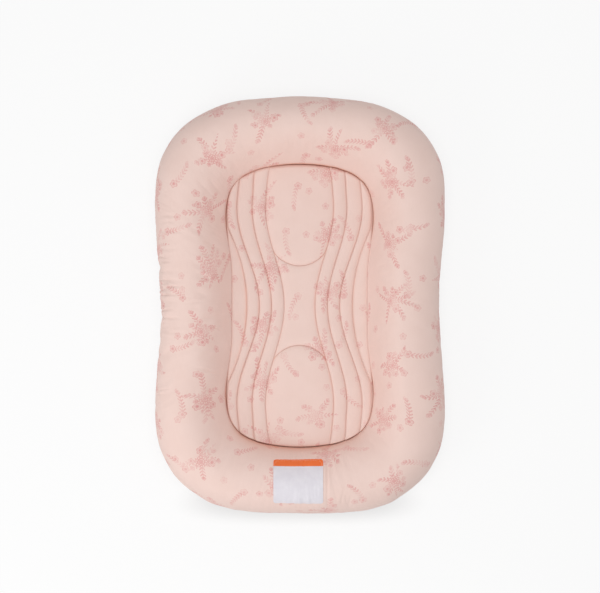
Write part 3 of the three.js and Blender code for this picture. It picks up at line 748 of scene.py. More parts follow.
def inner_phase(z):
    """Phase at which the arc under the pad is at a height."""
    return 3 + math.asin(1 - z / INNER_EQUATOR_Z) / QUARTER_TURN


BASE_SEAM_PHASE = outer_phase(BASE_SEAM_Z)
DECK_SEAM_PHASE = inner_phase(DECK_SEAM_Z)
# The underside ends a gap below the cover's lower edge.
LOWER_SEAM_PHASE = BASE_SEAM_PHASE - LAYER_GAP / (OUTER_EQUATOR_Z * QUARTER_TURN)


def bolster_points(share, phase, depth):
    """Points of the bolster at shares round it and phases over it, at a depth under its plain surface."""
    inner, across, width = stations(share)
    distance, height = section(phase, width, depth, inner)
    plan = inner + across * distance[..., None]
    return np.concatenate([plan, height[..., None]], axis=-1)


def cloth_place(share, phase):
    """Where a point of the cover lies on the flat cloth: the crest's plan, plus the length over the
    section."""
    inner, across, width = stations(share)
    reach = width * SIDE_CREST_SHARE + CREST_OVER - over_at(phase)
    return inner + across * reach[..., None]


# Relief of the stuffed cover: soft swells, gathers across the bolster, puckers at the seams, creases.

def ring_waves(share, over, spacing, lean, seed):
    """Noise in ribs across the bolster: waves with a whole number of turns round the ring, which lean a
    little over the section."""
    draw = np.random.default_rng(seed)
    turns = np.round(RING_LENGTH / spacing * draw.uniform(*RIB_STRETCH, RIB_COUNT))
    slants = draw.normal(0, lean, RIB_COUNT)
    starts = draw.uniform(0, TAU, RIB_COUNT)
    total = 0
    for turn, slant, start in zip(turns, slants, starts):
        total = total + np.sin(TAU * (turn * share + slant * over) + start)
    return total * math.sqrt(2 / RIB_COUNT)


def patch(x, y, middle, reach, power=2):
    """1 at a middle, fading out over a reach each way: e to the minus sum of the distances' powers."""
    return np.exp(-((x - middle[0]) / reach[0]) ** power - ((y - middle[1]) / reach[1]) ** power)


def crease(x, y, start, end, width, depth):
    """A valley along a line that fades at both ends, with a low lip on each side."""
    start, end = np.array(start), np.array(end)
    run = end - start
    length = np.linalg.norm(run)
    along = ((x - start[0]) * run[0] + (y - start[1]) * run[1]) / length
    aside = np.abs((y - start[1]) * run[0] - (x - start[0]) * run[1]) / length
    share = np.clip(along / length, 0, 1)
    beyond = np.maximum(np.maximum(-along, along - length), 0)
    fade = np.sqrt(np.maximum(1 - (2 * share - 1) ** 2, 0)) * np.exp(-(beyond / width) ** 2)
    valley = np.exp(-(aside / width) ** 2)
    lip = CREASE_LIP * np.exp(-((aside - CREASE_LIP_PLACE * width) / width) ** 2)
    return depth * fade * (lip - valley)


# Heights of the folds at the points of the simulation's grid: level until the simulation has run.
fold_heights = np.zeros((SIM_STATIONS, SIM_POINTS))


def spline_weights(t):
    """Weights of the four points round a place, for a cubic B-spline."""
    return [(1 - t) ** 3 / 6, (3 * t ** 3 - 6 * t ** 2 + 4) / 6, (1 + 3 * t + 3 * t ** 2 - 3 * t ** 3) / 6,
            t ** 3 / 6]


def folds_at(share, phase):
    """Height of the simulated folds between the points of their grid: a cubic B-spline both ways."""
    row = (share % 1) * SIM_STATIONS
    start, end = over_at(BASE_SEAM_PHASE), over_at(DECK_SEAM_PHASE)
    column = np.clip((over_at(phase) - start) / (end - start), 0, 1) * (SIM_POINTS - 1)
    first_row, first_column = np.floor(row).astype(int), np.floor(column).astype(int)
    total = 0.0
    for i, by_row in enumerate(spline_weights(row - first_row)):
        rows = (first_row + i - 1) % SIM_STATIONS
        for j, by_column in enumerate(spline_weights(column - first_column)):
            columns = np.clip(first_column + j - 1, 0, SIM_POINTS - 1)
            total = total + by_row * by_column * fold_heights[rows, columns]
    return total


def relief(share, phase):
    """Height of the cover's cloth over its plain surface, at shares round the ring and phases over it:
    swells, less gathers, plus the simulated folds, the single creases and the puckers at the base seam. The
    deepest valleys are pressed up by a hyperbolic tangent."""
    inner, across, width = stations(share)
    over = over_at(phase)
    distance, _ = section_curve(phase, width, inner)
    plan = inner + across * distance[..., None]
    x, y = plan[..., 0], plan[..., 1]
    place = cloth_place(share, phase)
    on_top = smooth(phase, *SWELL_PHASES) * (1 - EDGE_SWELL_SHARE) + EDGE_SWELL_SHARE
    height = SWELL * on_top * waves((place[..., 0], place[..., 1]), SWELL_SPACING, SWELL_SEED)

    ribs = ring_waves(share, over, GATHER_SPACING, GATHER_LEAN, GATHER_SEED)
    depth = sum((more * patch(x, y, middle, reach) for middle, reach, more in GATHERED), GATHER_ALL)
    height = height - depth * np.exp(-(ribs / GATHER_WIDTH) ** 2)

    strength = sum((more * patch(x, y, middle, reach) for middle, reach, more in FOLDED), FOLD_ALL)
    strength = strength * (1 - patch(x, y, *HELD_SMOOTH, HELD_POWER))
    height = height + strength * folds_at(share, phase)

    top = smooth(phase, *CREASE_START)
    for line in CREASES:
        height = height + top * crease(x, y, *line)

    from_base = over - over_at(BASE_SEAM_PHASE)
    puckers = ring_waves(share, over, PUCKER_SPACING, PUCKER_LEAN, PUCKER_SEED)
    near = np.exp(-from_base / PUCKER_REACH) * (1 - np.exp(-from_base / PUCKER_START))
    height = (height + PUCKER * puckers * near) * (1 - smooth(phase, *CALM_PHASES))
    return np.where(height < 0, -DEEPEST * np.tanh(-height / DEEPEST), height)


# Meshes.

def grid_faces(rows, columns, closed_rows, closed_columns, first=0):
    """Quads of a grid of points, joined round where a way is closed."""
    i = np.arange(rows if closed_rows else rows - 1)
    j = np.arange(columns if closed_columns else columns - 1)
    i, j = np.meshgrid(i, j, indexing="ij")
    k, n = (i + 1) % rows, (j + 1) % columns
    corners = [i * columns + j, k * columns + j, k * columns + n, i * columns + n]
    return np.stack(corners, axis=-1).reshape(-1, 4) + first


def fan_faces(loop, centre):
    """Triangles from a closed loop of points to one point."""
    return np.stack([loop, np.roll(loop, -1), np.full(len(loop), centre)], axis=-1)


def triangles_of(faces):
    """Blocks of triangles and quads as one block of triangles."""
    parts = []
    for block in faces:
        parts.append(block[:, :3])
        if block.shape[1] == 4:
            parts.append(block[:, [0, 2, 3]])
    return np.concatenate(parts)


def make_mesh(name, points, faces, uv=None, sharp=None, seam=None):
    """A smooth mesh from points and blocks of faces, turned so that its faces point outwards. Where a painted
    shade is given for its points, the mesh keeps it as an attribute."""
    points = points.reshape(-1, 3)
    a, b, c = (points[column] for column in triangles_of(faces).T)
    if (a * np.cross(b, c)).sum() < 0:
        faces = [block[:, ::-1] for block in faces]
    mesh = bpy.data.meshes.new(name)
    mesh.from_pydata(points.tolist(), [], [face for block in faces for face in block.tolist()])
    mesh.polygons.foreach_set("use_smooth", np.ones(len(mesh.polygons), dtype=bool))
    if sharp is not None:
        mesh.set_sharp_from_angle(angle=sharp)
    if uv is not None:
        corners = np.zeros(len(mesh.loops), dtype=np.int32)
        mesh.loops.foreach_get("vertex_index", corners)
        layer = mesh.uv_layers.new(name="cloth")
        layer.uv.foreach_set("vector", uv.reshape(-1, 2)[corners].astype(np.float32).ravel())
    if seam is not None:
        shade = mesh.attributes.new("seam", "FLOAT", "POINT")
        shade.data.foreach_set("value", seam.ravel().astype(np.float32))
    mesh.update()
    return mesh


def place_piece(name, mesh, finish, replaced=(), body=BODY):
    """Puts a mesh into the scene as a piece that rides on a body."""
    piece = bpy.data.objects.new(name, mesh)
    bpy.context.scene.collection.objects.link(piece)
    mesh.materials.clear()
    mesh.materials.append(finish)
    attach(piece, body)
    if replaced:
        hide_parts(*replaced)
    return piece


def shell_faces(rows, columns, closed):
    """Faces of a skin whose two sides are grids of the same shape, with a rim where it is open."""
    count = rows * columns
    index = np.arange(count).reshape(rows, columns)
    side = grid_faces(rows, columns, closed, False)
    blocks = [side, (side + count)[:, ::-1]]
    edges = [index[:, 0], index[:, -1][::-1]]
    if not closed:
        edges = [np.concatenate([index[::-1, 0], index[0, 1:-1], index[:, -1], index[-1, 1:-1][::-1]])]
    for edge in edges:
        ahead = np.roll(edge, -1)
        blocks.append(np.stack([edge, ahead, ahead + count, edge + count], axis=-1))
    return blocks


def skin_mesh(name, outer, inner, closed, sharp=None, uv=None):
    """A skin between two grids of points, closed round its rows or open. Without a flat place for each point,
    its cloth lies flat in plan."""
    points = np.concatenate([outer.reshape(-1, 3), inner.reshape(-1, 3)])
    uv = points[:, :2] if uv is None else uv
    return make_mesh(name, points, shell_faces(*outer.shape[:2], closed), uv, sharp)


# Materials, written as sums on wires.

class Wire:
    """A value on its way through a material's nodes. A sum on wires adds the Math nodes that work it out."""

    def __init__(self, tree, socket):
        self.tree = tree
        self.socket = socket

    def maths(self, operation, *values):
        return add(self.tree, "Math", {"operation": operation}, dict(enumerate(values)))

    def __add__(self, other):
        return self.maths("ADD", self, other)

    def __radd__(self, other):
        return self.maths("ADD", other, self)

    def __sub__(self, other):
        return self.maths("SUBTRACT", self, other)

    def __rsub__(self, other):
        return self.maths("SUBTRACT", other, self)

    def __mul__(self, other):
        return self.maths("MULTIPLY", self, other)

    def __rmul__(self, other):
        return self.maths("MULTIPLY", other, self)

    def __truediv__(self, other):
        return self.maths("DIVIDE", self, other)

    def __rtruediv__(self, other):
        return self.maths("DIVIDE", other, self)

    def __pow__(self, other):
        return self.maths("POWER", self, other)

    def __abs__(self):
        return self.maths("ABSOLUTE", self)

    def __gt__(self, other):
        return self.maths("GREATER_THAN", self, other)

    def floor(self):
        return self.maths("FLOOR", self)

    def fraction(self):
        return self.maths("FRACT", self)

    def sine(self):
        return self.maths("SINE", self)

    def cosine(self):
        return self.maths("COSINE", self)

    def root(self):
        return self.maths("SQRT", self)

    def most(self, other):
        return self.maths("MAXIMUM", self, other)

    def rise(self, low, high):
        """0 below low, 1 above high, smooth between."""
        inputs = {"Value": self, "From Min": low, "From Max": high, "To Min": 0.0, "To Max": 1.0}
        return add(self.tree, "MapRange", {"interpolation_type": "SMOOTHSTEP"}, inputs)

    def fall(self, low, high):
        """1 below low, 0 above high, smooth between."""
        return 1 - self.rise(low, high)

    def axes(self):
        """The three numbers of a vector or colour."""
        split = self.tree.nodes.new("ShaderNodeSeparateXYZ")
        self.tree.links.new(self.socket, split.inputs[0])
        return [Wire(self.tree, socket) for socket in split.outputs]


def add(tree, kind, settings, inputs, output=0):
    """Adds one node: its settings first, then the values or wires of its sockets. Gives one output."""
    made = tree.nodes.new("ShaderNode" + kind)
    for name, value in settings.items():
        setattr(made, name, value)
    for name, value in inputs.items():
        if isinstance(value, Wire):
            tree.links.new(value.socket, made.inputs[name])
        else:
            made.inputs[name].default_value = value
    return Wire(tree, made.outputs[output])


def colour(screen):
    """A screen colour as the linear colour that a shader takes, by the usual curve of screens."""
    shares = [value / 255 for value in screen]
    linear = [share / 12.92 if share <= 0.04045 else ((share + 0.055) / 1.055) ** 2.4 for share in shares]
    return (*linear, 1.0)


def blend_colours(tree, share, first, second):
    """The colour at a share of the way from one to another."""
    return add(tree, "Mix", {"data_type": "RGBA"}, {0: share, 6: first, 7: second}, output=2)


def blend_pair(tree, share, pair):
    """Blends a finish's light and dark screen colours."""
    return blend_colours(tree, share, colour(pair[0]), colour(pair[1]))


def vector(tree, x, y, z=0.0):
    """A place from its three numbers."""
    return add(tree, "CombineXYZ", {}, {0: x, 1: y, 2: z})


def object_place(tree):
    """Object coordinates: metres in the lounger's own frame."""
    return add(tree, "TexCoord", {}, {}, output=3)


def chances(tree, place):
    """Three random numbers from 0 to 1 that belong to a place."""
    return add(tree, "TexWhiteNoise", {"noise_dimensions": "3D"}, {0: place}, output=1).axes()


def noise(tree, place, scale, detail=2.0, roughness=0.5):
    """Smooth noise, about 0.5 on average, with a number of waves per metre."""
    inputs = {"Vector": place, "Scale": scale, "Detail": detail, "Roughness": roughness}
    return add(tree, "TexNoise", {"noise_dimensions": "3D"}, inputs)


def bare_tree(owner):
    """The emptied node tree of a material or a world."""
    owner.use_nodes = True
    owner.node_tree.nodes.clear()
    return owner.node_tree


def send_out(tree, kind, shader):
    """Joins a shader to the output node of a material or a world."""
    out = tree.nodes.new("ShaderNodeOutput" + kind)
    tree.links.new(shader.socket, out.inputs[0])


def finish_of(name, roughness, sheen=0.0, specular=0.3, metallic=0.0):
    """A material with its shader, whose constant sockets are set on the shader itself."""
    material = bpy.data.materials.new(name)
    tree = bare_tree(material)
    shader = tree.nodes.new("ShaderNodeBsdfPrincipled")
    shader.inputs["Roughness"].default_value = roughness
    shader.inputs["Sheen Weight"].default_value = sheen
    shader.inputs["Specular IOR Level"].default_value = specular
    shader.inputs["Metallic"].default_value = metallic
    send_out(tree, "Material", Wire(tree, shader.outputs[0]))
    return material, tree, shader


def wire_up(tree, shader, base=None, height=None, rough=None):
    """Joins a colour, a height in metres and a roughness to the shader."""
    if base is not None:
        tree.links.new(base.socket, shader.inputs["Base Color"])
    if rough is not None:
        tree.links.new(rough.socket, shader.inputs["Roughness"])
    if height is not None:
        bump = add(tree, "Bump", {}, {"Strength": 1.0, "Distance": 1.0, "Height": height})
        tree.links.new(bump.socket, shader.inputs["Normal"])


def weave_height(tree, x, y, thread, rise):
    """Plain weave: threads that pass over and under each other as a product of two sines, with thicker yarns
    here and there."""
    over = (x * (TAU / thread)).sine() * (y * (TAU / thread)).sine()
    slub_along = noise(tree, vector(tree, x * SLUB_ACROSS, y * SLUB_ALONG), 1.0)
    slub_across = noise(tree, vector(tree, x * SLUB_ALONG, y * SLUB_ACROSS), 1.0)
    return over * rise + (slub_along + slub_across) * (rise * SLUB_RISE)


# The printed sprays.

def cells(tree, x, y, pitch, seed, stray):
    """Cuts the cloth into columns of square cells, every other column half a cell lower. Gives each point its
    place from a random middle in its cell, turned by a random angle, and the cell's own numbers."""
    column = (x / pitch).floor()
    drop = (column * 0.5).fraction()
    row = (y / pitch + drop).floor()
    first, second, third = chances(tree, vector(tree, column, row, seed))
    right = (x / pitch - column - 0.5 - (first - 0.5) * stray) * pitch
    up = (y / pitch + drop - row - 0.5 - (second - 0.5) * stray) * pitch
    turn = third * TAU
    cosine, sine = turn.cosine(), turn.sine()
    return right * cosine + up * sine, up * cosine - right * sine, vector(tree, column, row, seed + 0.5)


def from_middle(x, y):
    """Distance of a place from the middle."""
    return (x * x + y * y).root()


def petals(x, y, radius, count, near, far, half_width, start=0.0):
    """A ring of oval petals between two distances from the middle, drawn by their rims and a middle vein."""
    out = from_middle(x, y) / radius
    turn = y.maths("ARCTAN2", y, x) * (count / TAU) + start
    aside = abs(turn - (turn + 0.5).floor()) * (TAU / count) * out / half_width
    along = (out - (near + far) / 2) / ((far - near) / 2)
    shape = along * along + aside * aside
    face = shape.fall(0.95, 1.30)
    rim = shape.rise(0.35, 0.80)
    vein = aside.fall(0.08, 0.26)
    return face * (0.06 + 0.94 * rim.most(vein * 0.6))


def blossom(x, y, radius):
    """A small open flower: five petals and a dark heart."""
    heart = from_middle(x, y).fall(radius * 0.12, radius * 0.26)
    return petals(x, y, radius, 5, 0.22, 1.0, 0.42).most(heart)


def rose(x, y, radius):
    """A full flower: two rings of broad petals round a tight heart."""
    outer = petals(x, y, radius, 6, 0.52, 1.05, 0.46)
    inner = petals(x, y, radius, 4, 0.20, 0.66, 0.36, 0.5)
    heart = from_middle(x, y) / radius
    dot = heart.fall(0.10, 0.20)
    ring = abs(heart - 0.30).fall(0.03, 0.09)
    return outer.most(inner * 0.9).most(dot).most(ring * 0.7)


def leafy_stem(along, aside, length, leaf):
    """A thin stem with a pair of slanted leaves at each step, drawn by their rims."""
    step = (along / leaf).fraction() - 0.55
    out = abs(aside) / leaf - 0.46
    long_way = (step + out) * LEAF_SLANT
    short_way = (out - step) * LEAF_SLANT
    shape = (long_way / LEAF_HALF_LENGTH) ** 2 + (short_way / LEAF_HALF_WIDTH) ** 2
    leaves = shape.fall(0.70, 1.20) * (0.55 + 0.45 * shape.rise(0.20, 0.60))
    stem = abs(aside).fall(leaf * 0.04, leaf * 0.13)
    inside = (length - along).rise(-leaf * 0.1, leaf * 0.2) * (along > leaf * 0.6)
    return leaves.most(stem * 0.7) * inside


def bouquet(tree, x, y):
    """A bouquet in each cell: leafy stems of random length, place and bend, which are longest one way, a bud
    at each tip, and a few flowers in the middle."""
    right, up, cell = cells(tree, x, y, LARGE_PITCH, LARGE_SEED, LARGE_STRAY)
    far = from_middle(right, up)
    step = TAU / STEMS
    turn = up.maths("ARCTAN2", up, right) / step
    sector = (turn + 0.5).floor()
    key = cell.axes()
    named = vector(tree, key[0] + sector * STEM_KEYS[0], key[1] + sector * STEM_KEYS[1], key[2])
    long_chance, bend_chance, lean_chance = chances(tree, named)
    aside_turn = (turn - sector + (lean_chance - 0.5) * STEM_SPREAD) * step
    drawn_out = STEM_ASIDE + (1 - STEM_ASIDE) * abs((sector * step).cosine())
    length = (long_chance * STEM_RANGE + STEM_LEAST) * drawn_out * LARGE_REACH
    bend = (bend_chance - 0.5) * (STEM_BEND / LARGE_REACH)
    along = far * aside_turn.cosine()
    aside = far * aside_turn.sine() - bend * along * along
    ink = leafy_stem(along, aside, length, LARGE_REACH * LEAF_SHARE)
    ink = ink.most(blossom(along - length, aside, LARGE_BLOOM * BUD_SHARE) * (length > LARGE_BLOOM))
    for place, distance, size in BOUQUET:
        radius = LARGE_BLOOM * size
        across = right - math.cos(place) * distance * LARGE_BLOOM
        upward = up - math.sin(place) * distance * LARGE_BLOOM
        inside = (from_middle(across, upward) / radius).fall(0.95, 1.1)
        flower = rose if size == 1.0 else blossom
        ink = ink * (1 - inside) + flower(across, upward, radius) * inside
    return ink


def sprig(tree, x, y):
    """One bent leafy branch in each cell, with a flower at its foot and a bud at its tip."""
    right, up, _ = cells(tree, x, y, LARGE_PITCH, SPRIG_SEED, SPRIG_STRAY)
    reach = SPRIG_REACH
    along = right + reach / 2
    aside = up - along * along * (SPRIG_BEND / reach) + reach * SPRIG_ASIDE
    ink = leafy_stem(along, aside, reach, reach * SPRIG_LEAF)
    tip = blossom(along - reach * 1.02, aside, reach * SPRIG_BUD)
    foot = blossom(along - reach * 0.02, aside, reach * SPRIG_FLOWER)
    return ink.most(tip).most(foot)


def print_ink(tree, x, y):
    """Bouquets, sprigs between them and single flowers, all printed unevenly."""
    large = bouquet(tree, x, y)
    small = sprig(tree, x + SPRIG_SHIFT[0], y + SPRIG_SHIFT[1])
    right, up, _ = cells(tree, x + SINGLE_SHIFT[0], y + SINGLE_SHIFT[1], SINGLE_PITCH, SINGLE_SEED,
                         SINGLE_STRAY)
    single = blossom(right, up, SINGLE_BLOOM)
    ink = large.most(small * 0.9).most(single * 0.8)
    place = vector(tree, x, y)
    uneven = noise(tree, place, 38.0).rise(0.32, 0.60) * 0.65 + 0.35
    grain = noise(tree, place, 700.0).rise(0.25, 0.65) * 0.4 + 0.6
    return ink * uneven * grain


# Cloth.

def cloth_axes(tree, shift=(0.0, 0.0)):
    """The two axes of the piece's flat cloth, in metres."""
    place = add(tree, "UVMap", {"uv_map": "cloth"}, {})
    x, y, _ = place.axes()
    return x + shift[0], y + shift[1]


def printed_cotton(name, shift=(0.0, 0.0), tone=1.0):
    """Peach cotton with the faded print, a fine weave, slight crumples and a warm shade painted into its
    creases.
    """
    material, tree, shader = finish_of(name, roughness=0.88, sheen=0.12, specular=0.2)
    x, y = cloth_axes(tree, shift)
    place = vector(tree, x, y)
    mottle = noise(tree, place, 26.0, 3.0).rise(0.3, 0.7)
    yarn = noise(tree, vector(tree, x * 700, y * 50), 1.0).rise(0.2, 0.8) * 0.5
    ground = blend_colours(tree, mottle * 0.35 + yarn * 0.4, colour(CLOTH), colour(CLOTH_SHADE))
    base = blend_colours(tree, print_ink(tree, x, y) * (0.9 * tone), ground, colour(INK))
    # Warm shade painted into the colour along the creases and grooves, read from the mesh's seam attribute.
    seam = add(tree, "Attribute", {"attribute_name": "seam"}, {}, output=2)
    base = blend_colours(tree, seam * PAINTED_CREASE_STRENGTH, base, colour(PAINTED_CREASE_COLOUR))
    crumple = noise(tree, place, 95.0, 2.0) * CRUMPLE
    height = weave_height(tree, x, y, COTTON_THREAD, COTTON_RISE) + crumple
    wire_up(tree, shader, base, height)
    return material


def plain_cloth(name, colours, thread, roughness=0.92):
    """Cloth of one colour: a woven ground with a little mottling."""
    material, tree, shader = finish_of(name, roughness=roughness, sheen=0.1, specular=0.2)
    place = object_place(tree)
    x, y, _ = place.axes()
    mottle = noise(tree, place, 40.0, 3.0).rise(0.25, 0.75)
    yarn = noise(tree, vector(tree, x * 650, y * 45), 1.0)
    base = blend_pair(tree, mottle * 0.25 + yarn * 0.5, colours)
    wire_up(tree, shader, base, weave_height(tree, x, y, thread, PLAIN_RISE))
    return material


# Bolster.

def softened(grid, rounds):
    """Rounds of averaging with the neighbours, in a grid that closes round its rows."""
    for _ in range(rounds):
        grid = (np.roll(grid, 1, axis=0) + 2 * grid + np.roll(grid, -1, axis=0)) / 4
        wide = np.concatenate([grid[:, :1], grid, grid[:, -1:]], axis=1)
        grid = (wide[:, :-2] + 2 * grid + wide[:, 2:]) / 4
    return grid


def simulated_folds():
    """Blows up the cover from inside by a cloth simulation: the skin is cut a little too large, roughened,
    and held at both seams. Gives how far each point comes to rest over the smooth swelling."""
    phase = even_phases(BASE_SEAM_PHASE, DECK_SEAM_PHASE, SIM_POINTS)[None, :]
    share, phase = np.broadcast_arrays(around(SIM_STATIONS), phase)
    plain = bolster_points(share, phase, 0.0)
    out = plain - bolster_points(share, phase, SIM_PROBE)
    out /= np.linalg.norm(out, axis=-1)[..., None]
    rough = SIM_ROUGHNESS * ring_waves(share, over_at(phase), SIM_ROUGH_SPACING, SIM_ROUGH_LEAN, ROUGH_SEED)
    rough[:, [0, -1]] = 0
    faces = [grid_faces(SIM_STATIONS, SIM_POINTS, True, False)]
    mesh = make_mesh("stuffing", plain + out * rough[..., None], faces)
    skin = bpy.data.objects.new("stuffing", mesh)
    scene = bpy.context.scene
    scene.collection.objects.link(skin)
    seams = skin.vertex_groups.new(name="seams")
    index = np.arange(share.size).reshape(share.shape)
    seams.add(index[:, [0, -1]].ravel().tolist(), 1.0, "REPLACE")
    cloth = skin.modifiers.new("cloth", "CLOTH")
    cloth.settings.mass = SIM_MASS
    cloth.settings.bending_stiffness = SIM_BENDING
    cloth.settings.use_pressure = True
    cloth.settings.uniform_pressure_force = SIM_PRESSURE
    cloth.settings.shrink_min = -SIM_SPARE
    cloth.settings.effector_weights.gravity = 0
    cloth.settings.vertex_group_mass = seams.name
    cloth.collision_settings.use_collision = False
    cloth.point_cache.frame_end = SIM_FRAMES
    for number in range(1, SIM_FRAMES + 1):
        scene.frame_set(number)
    settled = skin.evaluated_get(bpy.context.evaluated_depsgraph_get()).data
    places = np.zeros(share.size * 3, dtype=np.float32)
    settled.vertices.foreach_get("co", places)
    bpy.data.objects.remove(skin)
    bpy.data.meshes.remove(mesh)
    scene.frame_set(1)
    lift = ((places.reshape(plain.shape) - plain) * out).sum(axis=-1)
    return np.clip(lift - softened(lift, SMOOTHING), -FOLD_MOST, FOLD_MOST)


def painted_wall_shade(points, beside, phase):
    """The crease's warm shade, painted on the wall: e to the minus distance from the pad's outline over its
    reach.
    """
    away = points[..., :2] - beside
    reach = mix(WALL_SHADE_REACH, FOOT_WALL_SHADE_REACH, smooth(-beside[..., 1], *FOOT_WALL_SHADE_SHIFT))
    shade = np.exp(-np.linalg.norm(away, axis=-1) / reach)
    return shade * smooth(phase, *WALL_SHADE_PHASES) * painted_line_strength(beside[..., 0], beside[..., 1])


def bolster_cover():
    """The printed skin: its outer side follows the relief, and its inner side lies one cloth deeper."""
    share = around(RING_STATIONS)
    outer = even_phases(BASE_SEAM_PHASE, DECK_SEAM_PHASE, COVER_POINTS)[None, :]
    inner = even_phases(BASE_SEAM_PHASE, DECK_SEAM_PHASE, LINING_POINTS)[None, ::-1]
    share_out, phase_out = np.broadcast_arrays(share, outer)
    share_in, phase_in = np.broadcast_arrays(share, inner)
    skin = bolster_points(share_out, phase_out, -relief(share_out, phase_out))
    lining = bolster_points(share_in, phase_in, COVER_CLOTH - relief(share_in, phase_in))
    uv = np.concatenate([cloth_place(share_out, phase_out), cloth_place(share_in, phase_in)], axis=1)
    # Shade painted on the outer skin beside the crease round the pad; none on the inner side.
    seam = painted_wall_shade(skin, stations(share)[0], phase_out)
    seam = np.concatenate([seam, np.zeros(share_in.shape)], axis=1)
    faces = [grid_faces(RING_STATIONS, COVER_POINTS + LINING_POINTS, True, True)]
    return make_mesh("bolster_cover", np.concatenate([skin, lining], axis=1), faces, uv, seam=seam)


# Moulded pad.

def groove(number, y):
    """Half-width of a line that runs the length of the pad: 0 is the midline, then come the grooves, each a
    cosine swing about its middle that flares near the ends, the lens, a parabola, and the edge."""
    far = np.abs(y)
    if number == 0:
        return np.zeros_like(y)
    if number <= len(GROOVES):
        middle, swing, flare = GROOVES[number - 1]
        end = flare * smooth(far, END_FLARE_START, END_FLARE_START + END_FLARE_REACH)
        return middle - swing * np.cos(math.pi * y / GROOVE_HALF_WAVE) + end
    edge = pad_side(y) - SEAM_GAP
    if number == len(GROOVES) + 1:
        return np.minimum(LENS_WAIST + LENS_FLARE * (y / LENS_REACH) ** 2, edge - LENS_TIP)
    return edge


def pad_edge(y):
    """Half-width of the pad with its rounded ends: its side's times the root of 1 less a power of the share
    of the length."""
    end = np.clip(np.abs(y) / (PAD_HALF_LENGTH - SEAM_GAP), 0, 1) ** PAD_CORNER_POWER
    return (pad_side(y) - SEAM_GAP) * np.sqrt(1 - end)


def swell(share, power):
    """Section of a stuffed channel, 0 at both creases and 1 over a broad middle: the root of 1 less a power
    of the distance from the middle."""
    return np.sqrt(np.maximum(1 - np.abs(2 * share - 1) ** power, 0))


def leaning_swell(share):
    """Section of a channel that leans: a steep lip up to a share of LIP_SHARE, then a round slope down, each
    the root of 1 less a power."""
    lip = np.clip(share / LIP_SHARE, 0, 1)
    fall = np.clip((share - LIP_SHARE) / (1 - LIP_SHARE), 0, 1)
    return np.sqrt((1 - (1 - lip) ** LIP_POWER) * (1 - fall ** FALL_POWER))


def crowded(count):
    """Shares from 0 to 1 that crowd towards both ends."""
    return (1 - np.cos(math.pi * np.linspace(0, 1, count + 1))) / 2


def pad_columns():
    """Columns from the midline outwards: the strip that each lies in, and its share of the strip's width."""
    shares = [np.sin(QUARTER_TURN * np.linspace(0, 1, CENTRE_COLUMNS + 1))]
    shares += [crowded(count)[1:] for count in [BAND_COLUMNS] * len(GROOVES) + [LENS_COLUMNS]]
    numbers = [np.full(len(strip), number) for number, strip in enumerate(shares)]
    return np.concatenate(numbers), np.concatenate(shares)


def column_place(y, number, share):
    """Distance of a column from the midline: its share of the way between the two lines of its strip."""
    lines = np.stack([groove(n, y) for n in range(len(GROOVES) + 3)])
    low = np.take_along_axis(lines, number[None], axis=0)[0]
    high = np.take_along_axis(lines, number[None] + 1, axis=0)[0]
    return mix(low, high, share)


def pad_quarter():
    """Grid over a quarter of the pad, from its middle: rows of the neck, which bend more and more like the
    oval's start, then rows of the oval, up to where each column meets the pad's edge. A point holds its x and
    y, its column's strip and share, its way along the neck or the oval, whether it is in the oval, and its
    distance from the edge."""
    numbers, shares = pad_columns()
    last = (numbers == len(GROOVES) + 1) & (shares == 1)
    end_y = crossing(lambda y: column_place(y, numbers, shares) - pad_edge(y), np.zeros(len(numbers)),
                     np.full(len(numbers), PAD_HALF_LENGTH - SEAM_GAP))
    end_y = np.where(last, PAD_SIDE_END, end_y)
    in_centre = np.where(numbers == 0, shares, 1)
    oval_y = OVAL_START + OVAL_ROUND * (1 - np.sqrt(1 - in_centre ** 2))
    neck = np.sin(QUARTER_TURN * np.linspace(0, 1, NECK_STEPS + 1))
    oval = crowded(OVAL_STEPS)[1:]
    neck_rows = neck[:, None] * oval_y[None, :]
    oval_rows = mix(oval_y[None, :], end_y[None, :], oval[:, None])
    y = np.concatenate([neck_rows, oval_rows])
    number = np.broadcast_to(numbers, y.shape)
    share = np.broadcast_to(shares, y.shape)
    x = column_place(y, number, share)
    x = np.where(number * share >= len(GROOVES) + 1, np.minimum(x, pad_edge(y)), x)
    way = np.broadcast_to(np.concatenate([neck, oval])[:, None], y.shape)
    in_oval = np.broadcast_to(np.arange(len(y))[:, None] > NECK_STEPS, y.shape)
    to_rim = np.minimum(np.maximum(pad_edge(y) - x, 0), np.maximum(end_y[None, :] - y, 0))
    return np.stack([x, y, number, share, way, in_oval, to_rim], axis=-1)


def mirrored_all_round(quarter):
    """The whole grid from its quarter, mirrored to the foot end and to the left. Only x and y change sign."""
    right = np.concatenate([quarter[:0:-1] * [1, -1, 1, 1, 1, 1, 1], quarter])
    return np.concatenate([right[:, :0:-1] * [-1, 1, 1, 1, 1, 1, 1], right], axis=1)


def pad_crown(x, number, share, way, in_oval):
    """Height over the creases: an oval or the neck in the middle, then channels with a steep left lip, and
    the low strip beyond them."""
    along_oval = swell(np.clip(way, 0, 1), OVAL_POWER)
    along_neck = np.sqrt(np.maximum(1 - way ** NECK_POWER, 0))
    along = np.where(in_oval > 0, OVAL_CROWN * along_oval, NECK_CROWN * along_neck)
    centre = along * swell(0.5 + share / 2, OVAL_SIDE_POWER)
    from_left = np.where(x > 0, share, 1 - share)
    bands = np.where(number > len(GROOVES), LENS_CROWN * swell(share / 2, BAND_POWER),
                     BAND_CROWN * leaning_swell(from_left))
    return np.where(number == 0, centre, bands)


